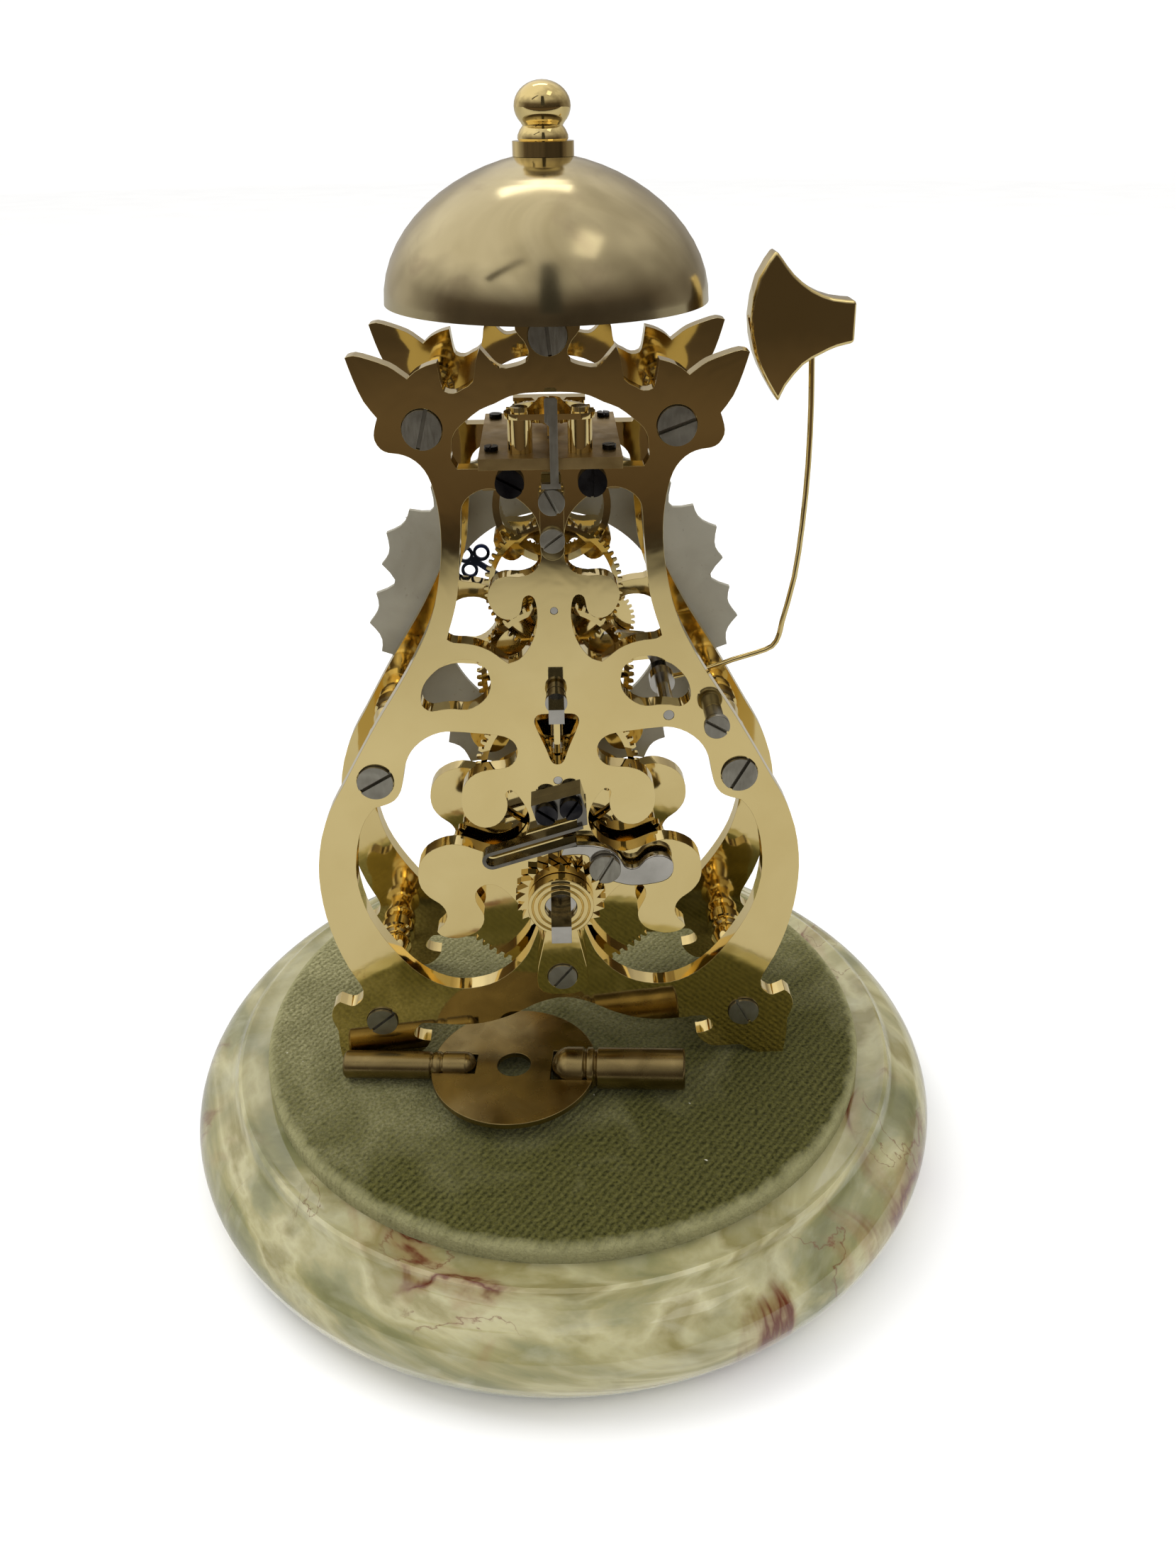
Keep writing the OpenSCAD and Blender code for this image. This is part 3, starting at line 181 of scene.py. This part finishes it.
def velvet_finish():
    """Short olive pile in a fine diagonal rib, with painted light: a dark shaded pile at the front, a paler
    lit pile towards the back left mixed with random brushed patches, and a painted sheen on the rim.
    """
    mat, tree, shader = blank(
        "velvet", Roughness=0.95, Sheen_Weight=0.12, Sheen_Roughness=0.4, Sheen_Tint=(0.62, 0.58, 0.28, 1),
        Specular_IOR_Level=0.1)
    # Painted light: this gradient makes the pile paler towards the back left and darker towards the front.
    light_from_back_left = maths(tree, "ADD", along(tree, "Y", -0.050, 0.035), along(tree, "X", 0.075, -0.075))
    uneven = maths(tree, "ADD", light_from_back_left, maths(tree, "MULTIPLY", noise(tree, 17, 4, 1.0), 1.3))
    # Painted shade and painted light: a dark shaded tone of the pile and a paler lit tone of the same pile.
    shaded_pile = ramp(tree, noise(tree, 0.7, 3), (0.35, (0.022, 0.022, 0.004)), (0.68, (0.082, 0.077, 0.018)))
    lit_pile = ramp(tree, noise(tree, 0.6, 3), (0.35, (0.150, 0.142, 0.066)), (0.68, (0.330, 0.310, 0.165)))
    # Mask of painted light from the back left, mixed with random brushed patches.
    light_and_brush_mask = ramp(tree, maths(tree, "MULTIPLY", uneven, 0.4), (0.50, 0.0), (0.92, 1.0))
    pile = mix(tree, light_and_brush_mask, shaded_pile, lit_pile)
    rib = add(tree, "ShaderNodeTexWave", Scale=235, Distortion=2.4, Detail=3)
    rib.inputs["Detail Scale"].default_value = 3
    coords, place = tree.nodes.new("ShaderNodeTexCoord"), tree.nodes.new("ShaderNodeMapping")
    place.inputs["Rotation"].default_value = (0, 0, math.radians(38))
    tree.links.new(coords.outputs["Object"], place.inputs["Vector"])
    tree.links.new(place.outputs["Vector"], rib.inputs["Vector"])
    ribbed = mix(tree, ramp(tree, rib.outputs["Fac"], (0.25, 0.0), (0.85, 0.24)), pile, (0.160, 0.150, 0.050))
    # Painted sheen: the pile is made paler in a ring at the rim, where the cloth turns over its edge.
    coords = tree.nodes.new("ShaderNodeTexCoord")
    flat = add(tree, "ShaderNodeVectorMath", operation="MULTIPLY")
    flat.inputs[1].default_value = (1, 1, 0)
    reach = add(tree, "ShaderNodeVectorMath", operation="LENGTH")
    tree.links.new(coords.outputs["Object"], flat.inputs[0])
    tree.links.new(flat.outputs["Vector"], reach.inputs[0])
    edge = maths(tree, "ADD", maths(tree, "MULTIPLY", reach.outputs["Value"], 400),
                 maths(tree, "MULTIPLY", noise(tree, 3.5, 4), 1.2))
    turned = maths(tree, "MULTIPLY", maths(tree, "SUBTRACT", edge, 24.5), 0.6)
    ribbed = mix(tree, ramp(tree, turned, (0.0, 0.0), (0.50, 0.80)), ribbed, (0.285, 0.270, 0.135))
    lint = ramp(tree, noise(tree, 1.7, 1), (0.815, 0.0), (0.83, 0.8))
    tree.links.new(mix(tree, lint, ribbed, (0.55, 0.53, 0.42)), shader.inputs["Base Color"])
    height = mix(tree, 0.5, rib.outputs["Color"], ramp(tree, noise(tree, 0.5, 3), (0.3, 0.0), (0.7, 1.0)))
    bump(tree, shader, height, 0.34, 1.0)
    return mat


def onyx_finish():
    """Polished onyx: calm olive and cream flow bands, grey-green depth and long branching rusty veins."""
    mat, tree, shader = blank(
        "onyx", Roughness=0.05, Subsurface_Weight=0.15, Subsurface_Radius=(1.0, 0.85, 0.4),
        Subsurface_Scale=0.004, Coat_Weight=0.8, Coat_Roughness=0.02)
    bands = noise(tree, 52, 6, 2.4, (0.6, 0.8, 2.4), (0.5, 0.25, 0.3))
    stone = ramp(
        tree, bands,
        (0.30, (0.120, 0.122, 0.052)), (0.42, (0.200, 0.195, 0.090)), (0.49, (0.290, 0.265, 0.125)),
        (0.55, (0.400, 0.370, 0.205)), (0.62, (0.230, 0.200, 0.080)), (0.76, (0.320, 0.305, 0.175)))
    clouds = ramp(tree, noise(tree, 20, 5, 3.0, (0.7, 0.7, 1.5)), (0.50, 0.0), (0.74, 0.40))
    cloudy = mix(tree, clouds, stone, (0.430, 0.420, 0.300))
    shade = ramp(tree, noise(tree, 30, 4, 1.8, None, (0.9, 0.3, 1.9)), (0.54, 0.0), (0.72, 0.50))
    depth = mix(tree, shade, cloudy, (0.120, 0.118, 0.050))
    vein_turn = (1.1, 0.2, 0.7)
    vein_place = ramp(tree, noise(tree, 44, 2, 0.4, None, (0.4, 1.3, 0.2)), (0.47, 0.0), (0.55, 1.0))
    for size, half, strength, colour in (
            (64, 0.040, 0.60, (0.235, 0.120, 0.052)), (64, 0.013, 1.0, (0.095, 0.020, 0.008)),
            (30, 0.006, 0.7, (0.120, 0.032, 0.014))):
        line = ramp(tree, noise(tree, size, 6, 0.6, (1.5, 1.5, 0.40), vein_turn),
                    (0.5 - half, 0.0), (0.5, strength), (0.5 + half, 0.0))
        depth = mix(tree, maths(tree, "MULTIPLY", line, vein_place), depth, colour)
    tree.links.new(depth, shader.inputs["Base Color"])
    bump(tree, shader, noise(tree, 3, 5), 0.02, 0.2)
    return mat


def bell_finish():
    """Old polished brass: still a soft mirror, with brown clouds of tarnish."""
    mat, tree, shader = blank("bell_brass", Metallic=1.0)
    clouds = ramp(
        tree, noise(tree, 22, 5, 1.0), (0.30, (0.400, 0.330, 0.175)), (0.50, (0.530, 0.450, 0.265)),
        (0.68, (0.600, 0.515, 0.310)))
    blotch = ramp(tree, noise(tree, 9, 4, 0.8), (0.56, 0.0), (0.74, 0.35))
    tree.links.new(mix(tree, blotch, clouds, (0.320, 0.235, 0.150)), shader.inputs["Base Color"])
    tree.links.new(ramp(tree, noise(tree, 14, 5), (0.3, 0.13), (0.7, 0.23)), shader.inputs["Roughness"])
    return mat


def cloth_finish():
    mat, tree, shader = blank("felt", Roughness=0.98, Sheen_Weight=0.3)
    fibre = noise(tree, 0.6, 5, 0, (1, 3, 1))
    green = ramp(tree, fibre, (0.3, (0.03, 0.06, 0.02)), (0.7, (0.09, 0.14, 0.06)))
    tree.links.new(green, shader.inputs["Base Color"])
    bump(tree, shader, fibre, 0.2)
    return mat


def board_finish():
    mat, tree, shader = blank("board", Roughness=0.7)
    grain = noise(tree, 4, 5, 0.8, (0.15, 1, 1))
    brown = ramp(tree, grain, (0.3, (0.20, 0.12, 0.06)), (0.7, (0.42, 0.28, 0.15)))
    tree.links.new(brown, shader.inputs["Base Color"])
    return mat


def silvered_finish():
    """Matt silvered brass, grey-white with faint darker specks."""
    mat, tree, shader = blank("silvered", Metallic=0.35)
    cloud = ramp(tree, noise(tree, 12, 5, 0.5), (0.3, (0.31, 0.290, 0.225)), (0.7, (0.420, 0.400, 0.325)))
    speck = ramp(tree, noise(tree, 0.9, 4), (0.66, 0.0), (0.78, 0.5))
    tree.links.new(mix(tree, speck, cloud, (0.16, 0.14, 0.10)), shader.inputs["Base Color"])
    tree.links.new(ramp(tree, noise(tree, 5, 4), (0.3, 0.42), (0.7, 0.58)), shader.inputs["Roughness"])
    bump(tree, shader, noise(tree, 0.3, 3, 0, (1, 1, 8)), 0.006, 0.35)
    return mat


FINISHES = {
    "polished_brass": metal("polished_brass", (0.76, 0.600, 0.265), (0.84, 0.680, 0.325), 24, (0.035, 0.080),
                            wave_depth=0.05),
    "bell_brass": bell_finish(),
    "aged_brass": metal("aged_brass", (0.190, 0.140, 0.058), (0.330, 0.250, 0.108), 9, (0.20, 0.34),
                        0.4, 0.015),
    "polished_steel": metal("polished_steel", (0.40, 0.385, 0.35), (0.56, 0.54, 0.50), 9, (0.10, 0.20),
                            0.2, 0.004, (6, 1, 1)),
    "screw_steel": metal("screw_steel", (0.27, 0.255, 0.215), (0.40, 0.385, 0.330), 4, (0.32, 0.48),
                         0.15, 0.006, (7, 1, 1)),
    "black_steel": metal("black_steel", (0.012, 0.012, 0.015), (0.050, 0.048, 0.050), 4, (0.22, 0.36),
                         0.2, 0.006),
    "blued_steel": metal("blued_steel", (0.012, 0.018, 0.055), (0.030, 0.045, 0.130), 7, (0.14, 0.24)),
    "silvered": silvered_finish(),
    "onyx": onyx_finish(),
    "velvet": velvet_finish(),
    "felt": cloth_finish(),
    "board": board_finish(),
}


# Nodes whose surface differs from the rest of their slot
OWN_FINISH = {
    "click_spring": metal("sprung_steel", (0.120, 0.112, 0.095), (0.230, 0.215, 0.185), 7, (0.14, 0.24),
                          0.2, 0.004, (6, 1, 1)),
}
gilt = metal("frosted_gilt", (0.34, 0.235, 0.095), (0.50, 0.360, 0.160), 5, (0.30, 0.46), 0.12, 0.02)
for node in ("platform_plate", "platform_brackets"):
    OWN_FINISH[node] = gilt


# ---- Pieces ----


def enter(name, bm, slot, body, finish=None):
    """A mesh piece from bm, in the row frame, painted with its finish and riding on a body."""
    mesh = bpy.data.meshes.new(name)
    bm.to_mesh(mesh)
    bm.free()
    mesh.shade_smooth()
    piece = bpy.data.objects.new(name, mesh)
    bpy.context.scene.collection.objects.link(piece)
    piece.data.materials.append(finish or FINISHES[slot])
    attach(piece, body)
    return piece


def keep_corners(piece, angle=CORNER_DEG):
    """Smooth shading that stays crisp at corners sharper than angle, in degrees."""
    bm = bmesh.new()
    bm.from_mesh(piece.data)
    for edge in bm.edges:
        edge.smooth = len(edge.link_faces) == 2 and edge.calc_face_angle(0) < math.radians(angle)
    bm.to_mesh(piece.data)
    bm.free()


def soften(node, width_mm):
    """The node's own shape, its corners broken by a chamfer this wide. A width of 0 leaves them sharp."""
    bm = bmesh.new()
    bm.from_mesh(frame["nodes"][node].data)
    bmesh.ops.remove_doubles(bm, verts=bm.verts, dist=2e-6)
    if width_mm:
        bmesh.ops.dissolve_limit(bm, angle_limit=math.radians(0.4), verts=bm.verts, edges=bm.edges)
    piece = enter(node + "_finished", bm, SLOT_OF[node], BODY_OF[node], OWN_FINISH.get(node))
    if width_mm:
        edge = piece.modifiers.new("edge", "BEVEL")
        edge.width = width_mm * MM
        edge.segments = 2
        edge.limit_method = "ANGLE"
        edge.angle_limit = math.radians(CORNER_DEG)
        flat = piece.modifiers.new("flat_faces", "WEIGHTED_NORMAL")
        flat.mode = "FACE_AREA"
        flat.weight = 100
    else:
        keep_corners(piece)
    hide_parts(node)


# Chamfer of each node in millimetres: the filed plates and pawl have clear ones, thin wheels almost none
CHAMFER = {
    "back_plate": 0.30, "front_plate": 0.30, "ratchet_cock": 0.30, "contrate_cock": 0.25, "click": 0.28,
    "hammer_head": 0.70, "back_screws": 0.12, "front_screws": 0.12, "cock_screw": 0.12, "click_screw": 0.12,
    "click_spring": 0.15, "click_spring_screws": 0.10, "contrate_cock_screws": 0.10, "hammer_stop": 0.12,
    "platform_plate": 0.12, "platform_cocks": 0.12, "platform_brackets": 0.12, "barrel_arbor": 0.12,
    "key_barrels": 0.15, "key_disc": 0.15, "locking_strip": 0.06, "chapter_ring": 0.08,
}
OWN_SHAPE = {"velvet_cover", "hammer_wire"}


def velvet_cover():
    """The cloth over its board: flat in the middle, turned over a soft edge and down to the stone's ledge."""
    low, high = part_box("velvet_cover")
    radius, drop = (high[0] - low[0]) / 2, high[2] - low[2]
    turn = 1.7 * MM
    around, sway = 360, random.Random(7)
    phases = [sway.uniform(0, math.tau) for _ in range(4)]
    profile = [(radius - turn) * k / 60 for k in range(61)]
    points = [(r, 0.0) for r in profile]
    points += [(radius - turn + turn * math.sin(a), turn * (math.cos(a) - 1))
               for a in (math.radians(10 * k) for k in range(1, 10))]
    points += [(radius, -turn - (drop - turn) * k / 4) for k in range(1, 5)]
    bm = bmesh.new()
    rings = []
    for r, z in points[1:]:
        ring = []
        for k in range(around):
            a = math.tau * k / around
            swell = sum(math.sin((3 + 2 * n) * a + p) for n, p in enumerate(phases)) / 4
            share = (r / radius) ** 6
            ring.append(bm.verts.new((
                (r - 0.12 * MM * share * (1 + swell)) * math.cos(a),
                (r - 0.12 * MM * share * (1 + swell)) * math.sin(a),
                DECK + z - 0.10 * MM * share * (1 + swell))))
        rings.append(ring)
    centre = bm.verts.new((0, 0, DECK))
    for k in range(around):
        bm.faces.new((centre, rings[0][k], rings[0][(k + 1) % around]))
    for inner, outer in zip(rings, rings[1:]):
        for k in range(around):
            n = (k + 1) % around
            bm.faces.new((inner[k], outer[k], outer[n], inner[n]))
    cloth = enter("velvet_cloth", bm, "velvet", BODY_OF["velvet_cover"])
    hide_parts("velvet_cover")


def hammer_wire():
    """The node's swept skin, smoothed round and along its bends."""
    bm = bmesh.new()
    bm.from_mesh(frame["nodes"]["hammer_wire"].data)
    bmesh.ops.remove_doubles(bm, verts=bm.verts, dist=2e-6)
    wire = enter("hammer_wire_drawn", bm, SLOT_OF["hammer_wire"], BODY_OF["hammer_wire"])
    keep_corners(wire, 60)
    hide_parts("hammer_wire")


NUMERALS = ("XII", "I", "II", "III", "IV", "V", "VI", "VII", "VIII", "IX", "X", "XI")
STROKES = {"I": [((0, -1), (0, 1))], "V": [((-0.5, 1), (0, -1)), ((0.5, 1), (0, -1))],
           "X": [((-0.5, 1), (0.5, -1)), ((0.5, 1), (-0.5, -1))]}
ADVANCE = {"I": 0.42, "V": 1.0, "X": 1.0}


def dial_marks():
    """Hour numerals and a minute track on the dial side of the chapter ring, as thin enamel strokes."""
    low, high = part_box("chapter_ring")
    middle, face = Vector(((low[0] + high[0]) / 2, 0, (low[2] + high[2]) / 2)), high[1]
    bm = bmesh.new()

    def stroke(a, b, width):
        """A bar from a to b, given as (right, up) in millimetres as seen from the dial side."""
        a, b = Vector(a), Vector(b)
        side = Vector((a.y - b.y, b.x - a.x)).normalized() * width / 2
        corners = [a + side, b + side, b - side, a - side]
        under, over = (
            [bm.verts.new((middle.x - c.x * MM, face + lift * MM, middle.z + c.y * MM)) for c in corners]
            for lift in (-0.02, 0.03))
        bm.faces.new(over)
        bm.faces.new(under[::-1])
        for k in range(4):
            n = (k + 1) % 4
            bm.faces.new((under[k], under[n], over[n], over[k]))

    def about(angle, across, out):
        """The place `across` the radius at `angle` past twelve, `out` from the centre."""
        sine, cosine = math.sin(angle), math.cos(angle)
        return out * sine + across * cosine, out * cosine - across * sine

    for minute in range(60):
        angle = math.tau * minute / 60
        long = minute % 5 == 0
        stroke(about(angle, 0, TRACK_IN), about(angle, 0, TRACK_OUT), 0.45 if long else 0.16)
    for out in (TRACK_IN, TRACK_OUT):
        for k in range(120):
            stroke(about(math.tau * k / 120, 0, out), about(math.tau * (k + 1) / 120, 0, out), 0.12)
    for hour, text in enumerate(NUMERALS):
        angle = math.tau * hour / 12
        place = -sum(ADVANCE[c] for c in text) / 2
        for c in text:
            place += ADVANCE[c] / 2
            for (ax, ay), (bx, by) in STROKES[c]:
                ends = [about(angle, NUMERAL_PITCH * (place + x), NUMERAL_MIDDLE + NUMERAL_HALF * y)
                        for x, y in ((ax, ay), (bx, by))]
                stroke(*ends, THIN if ax > bx and c != "I" else THICK)
            place += ADVANCE[c] / 2
    bmesh.ops.recalc_face_normals(bm, faces=bm.faces[:])
    marks = enter("chapter_ring_marks", bm, "black_steel", BODY_OF["chapter_ring"])
    keep_corners(marks)


# ---- Stage, light and camera ----


def staged(name, bm, mat, hidden):
    """A part of the studio. A hidden one is seen only in reflections, like a flag beside the camera."""
    mesh = bpy.data.meshes.new(name)
    bm.to_mesh(mesh)
    bm.free()
    thing = bpy.data.objects.new(name, mesh)
    bpy.context.scene.collection.objects.link(thing)
    thing.data.materials.append(mat)
    if hidden:
        thing.visible_camera = False
        thing.visible_diffuse = False
        thing.visible_shadow = False
        thing.visible_transmission = False
    return thing


def paper(name, colour):
    mat, tree, shader = blank(name, Roughness=0.9)
    shade = ramp(tree, noise(tree, 90, 2), (0.3, colour), (0.7, tuple(c * 1.03 for c in colour)))
    tree.links.new(shade, shader.inputs["Base Color"])
    return mat


def glow(name, level):
    """Cloth that is only there to be reflected: (material, tree, shader to take its colour)."""
    mat, tree, shader = blank(name, Roughness=1.0, Specular_IOR_Level=0.0)
    shader.inputs["Base Color"].default_value = (0, 0, 0, 1)
    shader.inputs["Emission Strength"].default_value = level
    return mat, tree, shader


def tent():
    """What the polished metal sees: a grey tent, dark behind the camera, bright above and to the left."""
    mat, tree, shader = glow("tent_cloth", 1.0)
    height = ramp(tree, along(tree, "Z", 0, TENT_R),
                  (0.0, 0.07), (0.26, 0.12), (0.46, 0.45), (0.62, 0.82), (0.85, 1.0))
    behind = ramp(tree, along(tree, "Y", -TENT_R, TENT_R), (0.35, 0.0), (0.75, 0.45))
    aside = ramp(tree, along(tree, "X", -TENT_R, TENT_R),
                 (0.05, 1.0), (0.42, 0.86), (0.60, 0.60), (0.95, 0.46))
    light = maths(tree, "MULTIPLY", maths(tree, "ADD", height, behind), aside)
    uneven = maths(tree, "MULTIPLY", light, maths(tree, "ADD", noise(tree, 900, 2), 0.5))
    tree.links.new(ramp(tree, uneven, (0.0, 0.0), (0.10, (0.115, 0.092, 0.072)), (1.0, (1.0, 0.97, 0.92))),
                   shader.inputs["Emission Color"])
    bm = bmesh.new()
    bmesh.ops.create_uvsphere(bm, u_segments=48, v_segments=24, radius=TENT_R)
    bmesh.ops.bisect_plane(bm, geom=bm.verts[:] + bm.edges[:] + bm.faces[:], plane_co=(0, 0, TENT_BOTTOM),
                           plane_no=(0, 0, -1), clear_outer=True)
    staged("tent", bm, mat, True)


def table_glow():
    """The table as the metal sees it: pale round the clock, then a dark warm room floor past a soft edge."""
    mat, tree, shader = glow("table_cloth", 1.0)
    wander = maths(tree, "MULTIPLY", noise(tree, 130, 3), 0.05)
    reach = maths(tree, "ADD", along(tree, "Y", -1.2, 0.4), wander)
    tone = ramp(tree, reach, (0.20, (0.060, 0.044, 0.030)), (0.36, (0.120, 0.085, 0.055)),
                (0.48, (0.085, 0.058, 0.036)), (0.53, (0.018, 0.014, 0.012)),
                (0.556, (0.50, 0.49, 0.465)), (0.65, (0.66, 0.65, 0.62)),
                (0.90, (0.52, 0.51, 0.48)))
    tree.links.new(tone, shader.inputs["Emission Color"])
    bm = bmesh.new()
    inner, outer = ([bm.verts.new((r * math.cos(a), r * math.sin(a), TABLE_HEIGHT))
                     for a in (math.tau * k / 96 for k in range(96))] for r in (TABLE_HOLE_R, TENT_R))
    for k in range(96):
        n = (k + 1) % 96
        bm.faces.new((inner[k], outer[k], outer[n], inner[n]))
    staged("table_reflected", bm, mat, True)


def glow_card(name, centre, size, turn, colour, level):
    mat, tree, shader = glow(name + "_cloth", level)
    tone = ramp(tree, noise(tree, 160, 2), (0.3, tuple(c * 0.85 for c in colour)), (0.7, colour))
    tree.links.new(tone, shader.inputs["Emission Color"])
    bm = bmesh.new()
    bmesh.ops.create_grid(bm, x_segments=1, y_segments=1, size=0.5)
    plane = staged(name, bm, mat, True)
    plane.scale = (*size, 1)
    plane.location = centre
    plane.rotation_euler = turn


def softbox(name, place, target, size, power):
    data = bpy.data.lights.new(name, "AREA")
    data.shape = "RECTANGLE"
    data.size, data.size_y = size
    data.energy = power
    light = bpy.data.objects.new(name, data)
    light.location = place
    light.visible_glossy = False
    light.rotation_euler = (Vector(target) - Vector(place)).to_track_quat("-Z", "Y").to_euler()
    bpy.context.scene.collection.objects.link(light)


def studio():
    bm = bmesh.new()
    bmesh.ops.create_grid(bm, x_segments=1, y_segments=1, size=FLOOR_HALF)
    staged("floor", bm, paper("floor_paper", (0.93, 0.93, 0.93)), False)
    tent()
    table_glow()
    upright = math.radians(90)
    glow_card("camera_flag", (0.03, -0.62, 0.62), (0.17, 0.80), (upright, 0, 0), (0.055, 0.052, 0.045), 1.0)
    glow_card("stand_flag", (-0.42, -0.60, 0.95), (0.12, 0.60), (upright, 0.6, -0.3),
              (0.10, 0.085, 0.070), 1.0)
    glow_card("window", (0.55, -0.35, 1.45), (0.34, 0.55), (math.radians(20), 0.3, 0), (1.0, 0.97, 0.90), 1.7)
    glow_card("lamp", (-0.10, 0.90, 1.70), (0.80, 0.26), (math.radians(-28), 0, 0), (1.0, 0.98, 0.94), 3.6)
    world = bpy.data.worlds.new("studio")
    world.use_nodes = True
    sky = world.node_tree.nodes["Background"]
    sky.inputs["Color"].default_value = (1.0, 0.998, 0.992, 1)
    sky.inputs["Strength"].default_value = 1.08
    bpy.context.scene.world = world
    softbox("key_light", (-0.55, 0.25, 0.95), (0, 0, 0.1), (0.7, 0.5), 5.0)
    softbox("fill_light", (0.75, -0.15, 0.70), (0, 0, 0.1), (0.5, 0.5), 1.5)
    bpy.context.scene.view_settings.view_transform = "Standard"


def camera():
    """A wide view from just above the bell, looking down at the winding side."""
    level, drop = math.cos(EYE_PITCH), math.sin(EYE_PITCH)
    right = Vector((math.cos(EYE_YAW), math.sin(EYE_YAW), 0))
    ahead = Vector((-math.sin(EYE_YAW) * level, math.cos(EYE_YAW) * level, -drop))
    up = right.cross(ahead)
    side = math.cos(EYE_ROLL) * right + math.sin(EYE_ROLL) * up
    top = math.cos(EYE_ROLL) * up - math.sin(EYE_ROLL) * right
    data = bpy.data.cameras.new("camera")
    data.sensor_width = SENSOR_MM
    data.lens = LENS_MM
    data.clip_start = 0.005
    eye = bpy.data.objects.new("camera", data)
    axes = Matrix((side, top, -ahead)).transposed().to_4x4()
    eye.matrix_world = Matrix.Translation((0, -EYE_FRONT, DECK + EYE_HEIGHT)) @ axes
    bpy.context.scene.collection.objects.link(eye)
    bpy.context.scene.camera = eye


camera()
studio()
for node in BODY_OF:
    if node not in OWN_SHAPE:
        soften(node, CHAMFER.get(node, 0))
velvet_cover()
hammer_wire()
dial_marks()
